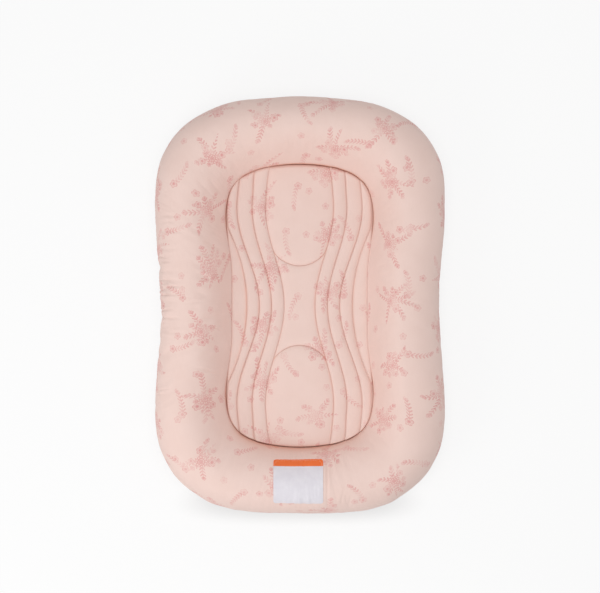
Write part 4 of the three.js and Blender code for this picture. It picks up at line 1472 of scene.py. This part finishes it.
def pad_rim(x, y):
    """Drop of the pad's edge at a place, and the width over which it rounds off: each changes from the
    waist's to the ends', and to the foot end's."""
    from_waist = smooth(np.abs(y), *WAIST_REACH)
    at_foot = smooth(-y, *FOOT_EDGE_SHIFT)
    width = mix(WAIST_EDGE_ROUND, mix(EDGE_ROUND, FOOT_EDGE_ROUND, at_foot), from_waist)
    width = mix(width, np.minimum(width, LEFT_EDGE_ROUND), smooth(-x, *LEFT_EDGE_SHIFT))
    drop = mix(WAIST_EDGE_DROP, mix(EDGE_DROP, FOOT_EDGE_DROP, at_foot), from_waist)
    return less_at_soft_edges(drop, x, y), width


def centre_panel():
    """The pad: its top goes over a quarter circle from the dropped edge to the crowns of the channels."""
    x, y, number, share, way, in_oval, to_rim = np.moveaxis(mirrored_all_round(pad_quarter()), -1, 0)
    crown = pad_crown(x, number, share, way, in_oval)
    drop, width = pad_rim(x, y)
    shoulder = np.sqrt(1 - (1 - np.clip(to_rim / width, 0, 1)) ** 2)
    z = DECK_SEAM_Z + CREASE_HEIGHT + mix(-drop, crown, shoulder)
    # Shade painted into the grooves and along the pad's rim.
    painted_groove_shade = GROOVE_SHADE * (1 - smooth(crown, 0, GROOVE_SHADE_RISE)) * smooth(to_rim, *GROOVE_SHADE_START)
    seam = np.maximum(painted_groove_shade, painted_line_strength(x, y) * np.exp(-to_rim / RIM_SHADE_REACH))
    top = np.stack([x + PAD_SHIFT[0], y + PAD_SHIFT[1], z], axis=-1)
    return closed_mound("centre_panel", top, DECK_SEAM_Z, seam)


def closed_mound(name, top, bottom_z, seam):
    """A shaped top over a flat bottom: the top's rim is carried straight down and closed by a fan."""
    rows, columns = top.shape[:2]
    index = np.arange(rows * columns).reshape(rows, columns)
    rim = np.concatenate([index[0, :-1], index[:-1, -1], index[-1, :0:-1], index[:0:-1, 0]])
    points = top.reshape(-1, 3)
    foot = points[rim] * [1, 1, 0] + [0, 0, bottom_z]
    first = len(points)
    centre = first + len(rim)
    points = np.concatenate([points, foot, [[0, 0, bottom_z]]])
    lower = np.arange(first, centre)
    wall = np.stack([np.roll(rim, -1), rim, lower, np.roll(lower, -1)], axis=-1)
    bottom = fan_faces(lower[::-1], centre)
    faces = [block[:, ::-1] for block in (grid_faces(rows, columns, False, False), wall, bottom)]
    # The painted shade of the rim is carried down the wall; none at the bottom's middle.
    seam = np.concatenate([seam.ravel(), seam.ravel()[rim], [0.0]])
    return make_mesh(name, points, faces, points[:, :2], seam=seam)


# Stage: floor, lamps, world and camera.

def seen_directly(tree):
    """1 for a ray from the camera, off a mirror or through glass, else 0."""
    path = tree.nodes.new("ShaderNodeLightPath")
    camera, glossy, clear = (Wire(tree, path.outputs[f"Is {kind} Ray"]) for kind in
                             ("Camera", "Glossy", "Transmission"))
    return camera.most(glossy).most(clear)


def floor_paper():
    """Paper that the camera sees almost as plain white, with a trace of the lounger's shadow and a faint
    painted shade in front of the foot end."""
    material = bpy.data.materials.new("floor_paper")
    tree = bare_tree(material)
    lit = add(tree, "BsdfDiffuse", {}, {"Color": (FLOOR_GREY, FLOOR_GREY, FLOOR_GREY, 1)})
    x, y, _ = object_place(tree).axes()
    far = ((x / FOOT_SHADE_SIZE[0]) ** 4 + ((y - FOOT_SHADE_Y) / FOOT_SHADE_SIZE[1]) ** 2).root()
    shade = 1 - far.fall(*FOOT_SHADE_FADE) * FOOT_SHADE
    plain = add(tree, "Emission", {}, {"Color": colour(BACKGROUND), "Strength": shade * PAPER_LIGHT})
    both = add(tree, "MixShader", {}, {0: seen_directly(tree) * PAPER_SHARE, 1: lit, 2: plain})
    send_out(tree, "Material", both)
    return material


def make_floor():
    """A square floor just under the lounger."""
    corners = [(-FLOOR_HALF, -FLOOR_HALF, 0), (FLOOR_HALF, -FLOOR_HALF, 0), (FLOOR_HALF, FLOOR_HALF, 0),
               (-FLOOR_HALF, FLOOR_HALF, 0)]
    mesh = bpy.data.meshes.new("floor")
    mesh.from_pydata(corners, [], [(0, 1, 2, 3)])
    mesh.materials.append(floor_paper())
    floor = bpy.data.objects.new("floor", mesh)
    bpy.context.scene.collection.objects.link(floor)
    floor.location.z = -FLOOR_DROP


def make_lights():
    """An even world that the camera sees as the background, and two round lamps turned to the lounger."""
    world = bpy.data.worlds.new("studio")
    bpy.context.scene.world = world
    tree = bare_tree(world)
    soft = add(tree, "Background", {}, {0: (1, 1, 1, 1), 1: WORLD_LIGHT})
    plain = add(tree, "Background", {}, {0: colour(BACKGROUND), 1: 1.0})
    send_out(tree, "World", add(tree, "MixShader", {}, {0: seen_directly(tree), 1: soft, 2: plain}))
    for name, (place, power) in LAMPS.items():
        light = bpy.data.lights.new(name, "AREA")
        light.shape = "DISK"
        light.size = LAMP_SIZE
        light.energy = power
        lamp = bpy.data.objects.new(name, light)
        bpy.context.scene.collection.objects.link(lamp)
        lamp.location = place
        lamp.rotation_euler = (-Vector(place)).to_track_quat("-Z", "Y").to_euler()


def make_camera():
    """Straight over the lounger, with the head end at the top of the picture."""
    lens = bpy.data.cameras.new("camera")
    lens.sensor_width = SENSOR_WIDTH
    lens.lens = SENSOR_WIDTH * (CAMERA_PLACE[2] - FIELD_Z) / FIELD_WIDTH
    camera = bpy.data.objects.new("camera", lens)
    bpy.context.scene.collection.objects.link(camera)
    camera.location = CAMERA_PLACE
    bpy.context.scene.camera = camera
    bpy.context.scene.view_settings.view_transform = "Standard"


# Linings and fillings.

def casing_top():
    """Ticking over the crown of the inner cushion, from the base seam to the deck's edge."""
    phases = even_phases(BASE_SEAM_PHASE, inner_phase(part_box("casing_top")[0].z), CASING_POINTS)[None, :]
    share, phase = np.broadcast_arrays(around(PLAIN_STATIONS), phases)
    return skin_mesh("casing_top", bolster_points(share, phase, CASING_DEPTH),
                     bolster_points(share, phase, CASING_DEPTH + TICKING), True)


def bolster_fill():
    """Fibre filling: a soft ring under the ticking, with low tufts, flat where it lies on the base."""
    phases = even_phases(0, 4, FILL_POINTS)[None, :]
    share, phase = np.broadcast_arrays(around(PLAIN_STATIONS), phases)
    sunk = smooth(phase, 0, FILL_FLOOR_PHASE) * (1 - smooth(phase, 4 - FILL_FLOOR_PHASE, 4))
    place = cloth_place(share, phase)
    tufts = TUFT_RISE * waves((place[..., 0], place[..., 1]), TUFT_SPACING, TUFT_SEED) * sunk
    points = bolster_points(share, phase, mix(FILL_FLOOR_DEPTH, FILL_DEPTH, sunk) - tufts)
    return make_mesh("bolster_fill", points, [grid_faces(*share.shape, True, True)], points[..., :2])


def slab_mesh(node, edge):
    """A slab of the pad's outline with a rounded rim: a profile of half an oval, carried round the outline
    and shrunk towards the middle on both faces, where a fan closes it."""
    box_low, box_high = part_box(node)
    low, high = box_low.z, box_high.z
    rim = outline(PAD_QUARTERS, np.arange(PLAIN_STATIONS) / PLAIN_STATIONS)
    rim = rim * (1 - MODEL_SEAM_GAP / np.linalg.norm(rim, axis=-1))[:, None]
    turn = np.linspace(-QUARTER_TURN, QUARTER_TURN, SLAB_RIM_POINTS)
    inset = np.concatenate([SLAB_RINGS[::-1], edge * (1 - np.cos(turn)) / PAD_HALF_LENGTH, SLAB_RINGS])
    z = (low + high) / 2 + (high - low) / 2 * np.sin(turn)
    z = np.concatenate([[low] * len(SLAB_RINGS), z, [high] * len(SLAB_RINGS)])
    plan = rim[:, None, :] * (1 - inset)[None, :, None]
    points = np.concatenate([plan, np.broadcast_to(z, plan.shape[:2])[..., None]], axis=-1)
    first = PLAIN_STATIONS * len(z)
    index = np.arange(first).reshape(PLAIN_STATIONS, len(z))
    points = np.concatenate([points.reshape(-1, 3), [[0, 0, low], [0, 0, high]]])
    faces = [grid_faces(PLAIN_STATIONS, len(z), True, False), fan_faces(index[:, 0][::-1], first),
             fan_faces(index[:, -1], first + 1)]
    return make_mesh(node, points, faces, points[:, :2], SLAB_ANGLE)


def underside(share, depth, deck_z, lift, goal):
    """Points of a cloth under the lounger, at a depth inside the bolster's skin: down from the seam to the
    floor, across it, up to the deck, and over the deck, at a lift above it, to a goal line of the plan."""
    def at(phase):
        return bolster_points(share[:, None], np.broadcast_to(phase, (len(share), len(phase))), depth)

    outside = at(np.linspace(LOWER_SEAM_PHASE, 0, ROLL_POINTS))
    inside = at(np.linspace(4, inner_phase(deck_z), RISE_POINTS))
    floor_steps = np.linspace(0, 1, FLOOR_POINTS)[1:-1]
    floor = mix(outside[:, -1:], inside[:, :1], floor_steps[None, :, None])
    inside[:, -1, 2] = deck_z + lift
    goal = np.concatenate([goal, np.full((len(share), 1), deck_z + lift)], axis=-1)
    deck_steps = np.linspace(0, 1, DECK_POINTS)[1:]
    deck = mix(inside[:, -1:], goal[:, None, :], deck_steps[None, :, None])
    return np.concatenate([outside, floor, inside, deck], axis=1)


def base_panel(name, side):
    """Half of the cotton underside: it ends at the zip's slot, and past the zip at the centre seam."""
    share = np.linspace(-0.25, 0.25, PANEL_STATIONS) + (0 if side > 0 else 0.5)
    y = stations(share)[0][:, 1] * DECK_GOAL_SHARE
    opening = np.clip((ZIP_END + ZIP_OPENING_MARGIN - np.abs(y)) / ZIP_SLOT_HALF, 0, 1)
    goal = np.stack([side * mix(LAYER_GAP / 2, ZIP_SLOT_HALF, opening), y], axis=-1)

    def rows(depth):
        points = underside(share, depth, DECK_Z, depth, goal)
        points[..., 0] = side * np.maximum(side * points[..., 0], LAYER_GAP / 2)
        return points

    return skin_mesh(name, rows(0.0), rows(COVER_CLOTH), False)


def casing_base():
    """Ticking under the inner cushion, closed in the middle by a fan on each side."""
    share = np.arange(PLAIN_STATIONS) / PLAIN_STATIONS
    goal = stations(share)[0] * CASING_GOAL_SHARE
    deck_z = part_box("zip_slider")[1].z + LAYER_GAP
    outer = underside(share, CASING_FLOOR_DEPTH, deck_z, 0.0, goal)
    under = underside(share, CASING_FLOOR_DEPTH + TICKING, deck_z, TICKING, goal)
    rows, columns = outer.shape[:2]
    count = rows * columns
    points = np.concatenate([outer.reshape(-1, 3), under.reshape(-1, 3),
                             [outer[:, -1].mean(axis=0), under[:, -1].mean(axis=0)]])
    index = np.arange(count).reshape(rows, columns)
    rim, middle = index[:, 0], index[:, -1]
    ahead = np.roll(rim, -1)
    side = grid_faces(rows, columns, True, False)
    faces = [side, (side + count)[:, ::-1], np.stack([ahead, rim, rim + count, ahead + count], axis=-1),
             fan_faces(middle, 2 * count), fan_faces(middle + count, 2 * count + 1)[:, ::-1]]
    return make_mesh("casing_base", points, faces, points[:, :2])


# Sewing thread.

def stitches(name, path, upward, length, pitch, thickness):
    """Thread along a path: at each pitch lies one stitch, a small rounded bar that arches out of the
    cloth."""
    run = np.concatenate([[0], np.cumsum(np.linalg.norm(np.diff(path, axis=0), axis=1))])
    count = int(run[-1] / pitch)
    middle = (np.arange(count) + 0.5) * run[-1] / count

    def at(distance, values):
        return np.stack([np.interp(distance, run, values[:, k]) for k in range(3)], axis=-1)

    centre = at(middle, path)
    ahead = at(middle + length / 2, path) - at(middle - length / 2, path)
    ahead /= np.linalg.norm(ahead, axis=1)[:, None]
    up = at(middle, upward)
    aside = np.cross(ahead, up)
    aside /= np.linalg.norm(aside, axis=1)[:, None]
    up = np.cross(aside, ahead)
    along = np.linspace(-1, 1, STITCH_POINTS)[:, None]
    girth = thickness / 2 * (1 - STITCH_TAPER * along ** 4)
    arch = thickness * STITCH_ARCH * (1 - along ** 2) - thickness * STITCH_SINK
    turn = np.arange(STITCH_SIDES)[None, :] / STITCH_SIDES * TAU
    bar = [along * length / 2 + 0 * turn, girth * np.cos(turn), girth * np.sin(turn) + arch]
    points = centre[:, None, None] + sum(part[None, ..., None] * axis[:, None, None]
                                         for part, axis in zip(bar, (ahead, aside, up)))
    reach, sink = ahead * length * STITCH_TIP_REACH, up * thickness * STITCH_TIP_SINK
    tips = np.stack([centre - reach - sink, centre + reach - sink], axis=1)
    size = STITCH_POINTS * STITCH_SIDES
    grid = np.arange(size).reshape(STITCH_POINTS, STITCH_SIDES)
    body = grid_faces(STITCH_POINTS, STITCH_SIDES, False, True)
    caps = np.concatenate([fan_faces(grid[0][::-1], size), fan_faces(grid[-1], size + 1)])
    offset = (np.arange(count) * (size + 2))[:, None, None]
    points = np.concatenate([points.reshape(count, size, 3), tips], axis=1)
    faces = [(body[None] + offset).reshape(-1, 4), (caps[None] + offset).reshape(-1, 3)]
    return make_mesh(name, points, faces)


def downward(path):
    """The way out of a cloth that faces the floor, at each point of a path."""
    return np.broadcast_to([0, 0, -1.0], path.shape)


def seam_stitches():
    """Topstitching on the cover, just above the base seam."""
    share = np.linspace(0, 1, SEAM_PATH_POINTS)
    phase = np.full_like(share, outer_phase(BASE_SEAM_Z + SEAM_STITCH_Z))
    path = bolster_points(share, phase, -relief(share, phase) - THREAD_LIFT)
    out = path - bolster_points(share, phase, THREAD_PROBE)
    return stitches("seam_stitches", path, out, *SEAM_STITCH)


def zip_stitches(name, side):
    """A straight row of stitches beside the zip's slot."""
    x = side * (ZIP_SLOT_HALF + ZIP_STITCH_INSET)
    y = ZIP_END + ZIP_OPENING_MARGIN - ZIP_STITCH_END
    path = np.linspace((x, -y, DECK_Z), (x, y, DECK_Z), ZIP_PATH_POINTS)
    return stitches(name, path, downward(path), *ZIP_STITCH)


# Labels.

def on_bolster(x, y):
    """Share and phase of the place on top of the bolster's foot end that lies under a point of the plan."""
    def beside(share):
        inner, across, _ = stations(share)
        return across[..., 1] * (x - inner[..., 0]) - across[..., 0] * (y - inner[..., 1])

    share = crossing(beside, *(np.full_like(x, end) for end in LABEL_SHARES))
    inner, across, width = stations(share)
    distance = (x - inner[..., 0]) * across[..., 0] + (y - inner[..., 1]) * across[..., 1]

    def short_of(phase):
        return distance - section_curve(phase, width, inner)[0]

    return share, crossing(short_of, *(np.full_like(x, end) for end in LABEL_PHASES))


def label_points(x, y, lift):
    """Points over the cover at a place on the label, measured from its middle, with a few slack wrinkles."""
    share, phase = on_bolster(x + LABEL_MIDDLE[0], y + LABEL_MIDDLE[1])
    low = smooth(-y, 0.0, LABEL_LENGTH / 2)
    slack = SLACK * waves((x * SLACK_STRETCH[0], y * SLACK_STRETCH[1]), SLACK_SPACING, SLACK_SEED) * low
    slack = slack + WAVER * waves((x, y), WAVER_SPACING, WAVER_SEED)
    return bolster_points(share, phase, -relief(share, phase) - lift - np.maximum(slack, -SLACK_SINK))


def label_grid(rows, columns):
    """A grid over a rectangle with rounded corners: each row is as wide as the outline is there."""
    y = np.linspace(-1, 1, rows)[:, None] * LABEL_LENGTH / 2
    beyond = np.maximum(np.abs(y) - (LABEL_LENGTH / 2 - LABEL_CORNER), 0)
    half = LABEL_WIDTH / 2 - LABEL_CORNER + np.sqrt(np.maximum(LABEL_CORNER ** 2 - beyond ** 2, 0))
    x = np.linspace(-1, 1, columns)[None, :] * half
    return np.broadcast_arrays(x, y)


def label_patch():
    """The label: a thin skin that lies on the cover."""
    x, y = label_grid(*LABEL_GRID)
    flat = np.concatenate([np.stack([x, y], axis=-1).reshape(-1, 2)] * 2)
    return skin_mesh("label_patch", label_points(x, y, LAYER_GAP + LABEL_THICKNESS),
                     label_points(x, y, LAYER_GAP), False, RIM_ANGLE, flat)


def label_stitches():
    """Small stitches all round the label, a little inside its edge, on a nearly square closed curve."""
    turn = np.linspace(0, TAU, LABEL_PATH_POINTS)
    across, along = (np.sign(wave) * np.abs(wave) ** LABEL_STITCH_POWER
                     for wave in (np.cos(turn), np.sin(turn)))
    x = (LABEL_WIDTH / 2 - LABEL_STITCH_INSET) * across
    y = (LABEL_LENGTH / 2 - LABEL_STITCH_INSET) * along
    path = label_points(x, y, LAYER_GAP + LABEL_THICKNESS)
    up = path - label_points(x, y, LAYER_GAP - LABEL_PROBE)
    return stitches("label_stitches", path, up, *LABEL_STITCH)


def care_tag():
    """A blank tag under the deck, sewn along one end, whose free end curls down a little."""
    low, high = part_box("care_tag")
    x, y = np.meshgrid(np.linspace(low.x, high.x, TAG_GRID[0]), np.linspace(low.y, high.y, TAG_GRID[1]))
    run = (y - low.y) / (high.y - low.y)
    curl = TAG_CURL * run ** 3 + TAG_WAVE * np.sin(TAU * x / TAG_WAVE_LENGTH + TAG_WAVE_START) * run
    top = np.stack([x, y, high.z - curl], axis=-1)
    bottom = np.stack([x, y, low.z - curl], axis=-1)
    return skin_mesh("care_tag", top, bottom, False, RIM_ANGLE)


def tag_stitches():
    """A row of stitches across the tag's sewn end."""
    low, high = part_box("care_tag")
    aside, along = TAG_STITCH_INSET
    path = np.linspace((low.x + aside, low.y + along, low.z), (high.x - aside, low.y + along, low.z),
                       TAG_PATH_POINTS)
    return stitches("tag_stitches", path, downward(path), *TAG_STITCH)


# Zip.

def zip_coil(node):
    """A nylon coil: one wire wound in a long flattened helix, half a turn ahead of the other coil's."""
    low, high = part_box(node)
    mirror = 1 if low.x > 0 else -1
    outer = max(abs(low.x), abs(high.x))
    start = low.y + COIL_WIRE + (COIL_PITCH / 2 if mirror > 0 else 0)
    turns = int((high.y - COIL_WIRE - start) / COIL_PITCH)
    at = np.linspace(0, 1, turns * COIL_POINTS + 1)
    turn = at * turns * TAU
    reach_x = (outer + COIL_OVERLAP) / 2 - COIL_WIRE
    reach_z = (high.z - low.z) / 2 - COIL_WIRE
    out = np.stack([mirror * np.cos(turn), np.zeros_like(turn), np.sin(turn)], axis=-1)
    centre = np.stack([mirror * (outer - COIL_OVERLAP) / 2 + out[:, 0] * reach_x,
                       start + at * turns * COIL_PITCH,
                       (low.z + high.z) / 2 + out[:, 2] * reach_z], axis=-1)
    ahead = np.gradient(centre, axis=0)
    ahead /= np.linalg.norm(ahead, axis=1)[:, None]
    aside = np.cross(ahead, out)
    aside /= np.linalg.norm(aside, axis=1)[:, None]
    up = np.cross(aside, ahead)
    angle = np.arange(COIL_SIDES) / COIL_SIDES * TAU
    points = (centre[:, None] + COIL_WIRE * np.cos(angle)[None, :, None] * aside[:, None]
              + COIL_WIRE * np.sin(angle)[None, :, None] * up[:, None])
    count = len(at) * COIL_SIDES
    points = np.concatenate([points.reshape(-1, 3), [centre[0], centre[-1]]])
    index = np.arange(count).reshape(len(at), COIL_SIDES)
    faces = [grid_faces(len(at), COIL_SIDES, False, True), fan_faces(index[0][::-1], count),
             fan_faces(index[-1], count + 1)]
    return make_mesh(node, points, faces)


def zip_tape(node):
    """Woven tape: a thin slab with fine ribs along it, which swing by a sine across it."""
    low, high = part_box(node)
    x = np.linspace(low.x, high.x, TAPE_GRID[0])
    y = np.linspace(low.y, high.y, TAPE_GRID[1])
    y, x = np.meshgrid(y, x, indexing="ij")
    rib = TAPE_RIB * np.sin(TAU * x / TAPE_RIB_PITCH)
    top = np.stack([x, y, high.z - TAPE_RIB + rib], axis=-1)
    bottom = np.stack([x, y, low.z + TAPE_RIB - rib], axis=-1)
    return skin_mesh(node, top, bottom, False, RIM_ANGLE)


def merged_copy(node):
    """A copy of a hard part of the model, with its loose triangles joined into whole faces."""
    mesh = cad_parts[node].data.copy()
    mesh.name = f"{node}_eased"
    work = bmesh.new()
    work.from_mesh(mesh)
    bmesh.ops.remove_doubles(work, verts=work.verts, dist=WELD)
    bmesh.ops.dissolve_limit(work, angle_limit=FLAT_ANGLE, verts=work.verts, edges=work.edges)
    work.to_mesh(mesh)
    work.free()
    mesh.polygons.foreach_set("use_smooth", np.ones(len(mesh.polygons), dtype=bool))
    return mesh


def ease_edges(piece, width):
    """Rounds the edges of a hard part."""
    bevel = piece.modifiers.new("edges", "BEVEL")
    bevel.width = width
    bevel.segments = EASE_SEGMENTS
    bevel.limit_method = "ANGLE"
    bevel.angle_limit = EASE_ANGLE
    bevel.harden_normals = True


# Finishes of the small parts.

def label_cloth():
    """Satin label, near white with a faint cool tint, and one plain orange band along its top."""
    material, tree, shader = finish_of("label", roughness=0.55, sheen=0.1, specular=0.35)
    x, y = cloth_axes(tree)
    band_y = LABEL_LENGTH / 2 - LABEL_BAND
    band = y.rise(band_y - BAND_BLUR, band_y + BAND_BLUR)
    mottle = noise(tree, vector(tree, x, y), 60.0, 2.0).rise(0.3, 0.7)
    field = blend_pair(tree, mottle * 0.6, LABEL_FIELD)
    orange = blend_pair(tree, mottle * 0.5, LABEL_ORANGE)
    base = blend_colours(tree, band, field, orange)
    wire_up(tree, shader, base, weave_height(tree, x, y, SATIN_THREAD, SATIN_RISE))
    return material


def metal_finish():
    """Nickel plate: fine scratches and a slightly uneven polish."""
    material, tree, shader = finish_of("zip_metal", roughness=0.32, specular=0.5, metallic=1.0)
    place = object_place(tree)
    x, y, z = place.axes()
    wear = noise(tree, place, 420.0, 3.0)
    scratch = noise(tree, vector(tree, x * 2600, y * 90, z * 2600), 1.0, 1.0)
    base = blend_pair(tree, wear, NICKEL)
    rough = wear * 0.18 + scratch * 0.12 + 0.2
    wire_up(tree, shader, base, scratch * SCRATCH_RISE, rough)
    return material


def nylon_finish():
    """Dyed nylon wire, a little uneven in colour and shine."""
    material, tree, shader = finish_of("zip_nylon", roughness=0.42, specular=0.45)
    tint = noise(tree, object_place(tree), 300.0, 1.0)
    wire_up(tree, shader, blend_pair(tree, tint, NYLON), None, tint * 0.15 + 0.35)
    return material


def thread_finish():
    """Sewing thread: slanting light and dark bands of its twist."""
    material, tree, shader = finish_of("thread", roughness=0.7, sheen=0.2, specular=0.3)
    x, y, z = object_place(tree).axes()
    twist = ((x + y + z) * (TAU / THREAD_TWIST)).sine() * 0.5 + 0.5
    wire_up(tree, shader, blend_pair(tree, twist * 0.5, THREAD), twist * TWIST_RISE)
    return material


def foam_finish():
    """Cream foam with open cells."""
    material, tree, shader = finish_of("foam", roughness=0.95, sheen=0.05, specular=0.15)
    place = object_place(tree)
    cell = add(tree, "TexVoronoi", {"feature": "F1"}, {"Vector": place, "Scale": FOAM_CELLS})
    tone = noise(tree, place, 30.0, 2.0)
    wire_up(tree, shader, blend_pair(tree, tone * 0.6 + cell * 0.3, FOAM), cell * CELL_RISE)
    return material


def fibre_finish():
    """White polyester fibre: a tangle of fine strands."""
    material, tree, shader = finish_of("fibre", roughness=0.95, sheen=0.3, specular=0.2)
    place = object_place(tree)
    x, y, z = place.axes()
    bend = noise(tree, place, 80.0, 2.0) * 6
    strand = noise(tree, vector(tree, x * 900 + bend, y * 160 + bend, z * 300), 1.0, 3.0)
    wire_up(tree, shader, blend_pair(tree, strand.rise(0.3, 0.7) * 0.5, FIBRE), strand * FIBRE_RISE)
    return material


make_floor()
make_lights()
make_camera()

print_cotton = printed_cotton("print_cotton")
pad_cotton = printed_cotton("pad_cotton", PAD_CUT, PAD_PRINT)
base_cotton = plain_cloth("base_cotton", BASE_COTTON, COTTON_THREAD)
ticking = plain_cloth("ticking", TICKING_CLOTH, TICKING_THREAD)
tape_cloth = plain_cloth("zip_tape", TAPE_CLOTH, TAPE_THREAD, roughness=0.75)
label = label_cloth()
fibre = fibre_finish()
foam = foam_finish()
nylon = nylon_finish()
metal = metal_finish()
thread = thread_finish()

fold_heights[:] = simulated_folds()
cover = place_piece("bolster_cover_cloth", bolster_cover(), print_cotton, ["bolster_cover"])
pad = place_piece("centre_panel_pad", centre_panel(), pad_cotton, ["centre_panel"])
filling = place_piece("bolster_fibre", bolster_fill(), fibre, ["bolster_fill"])
slab = place_piece("firm_pad_foam", slab_mesh("firm_pad", FOAM_EDGE), foam, ["firm_pad"])
lining = place_piece("panel_lining_cloth", slab_mesh("panel_lining", LINING_EDGE), base_cotton,
                     ["panel_lining"])

casing_over = place_piece("casing_top_cloth", casing_top(), ticking, ["casing_top"])
casing_under = place_piece("casing_base_cloth", casing_base(), ticking, ["casing_base"])
for word, side in (("left", -1), ("right", 1)):
    panel = place_piece(f"base_panel_{word}_cloth", base_panel(f"base_panel_{word}", side), base_cotton,
                        [f"base_panel_{word}"])

patch_cloth = place_piece("label_patch_cloth", label_patch(), label, ["label_patch"])
patch_thread = place_piece("label_patch_stitches", label_stitches(), thread)
tag = place_piece("care_tag_cloth", care_tag(), label, ["care_tag"])
tag_thread = place_piece("care_tag_stitches", tag_stitches(), thread)

place_piece("base_seam_stitches", seam_stitches(), thread)
for number, side in enumerate((-1, 1)):
    row = zip_stitches(f"zip_stitches_{number}", side)
    place_piece(f"zip_seam_stitches_{number}", row, thread)

for word in ("left", "right"):
    tape, coil = f"zip_tape_{word}", f"zip_coil_{word}"
    place_piece(f"{tape}_woven", zip_tape(tape), tape_cloth, [tape])
    place_piece(f"{coil}_wound", zip_coil(coil), nylon, [coil])
for node, (body, width) in HARD_PARTS.items():
    piece = place_piece(f"{node}_cast", merged_copy(node), metal, [node], body)
    ease_edges(piece, width)
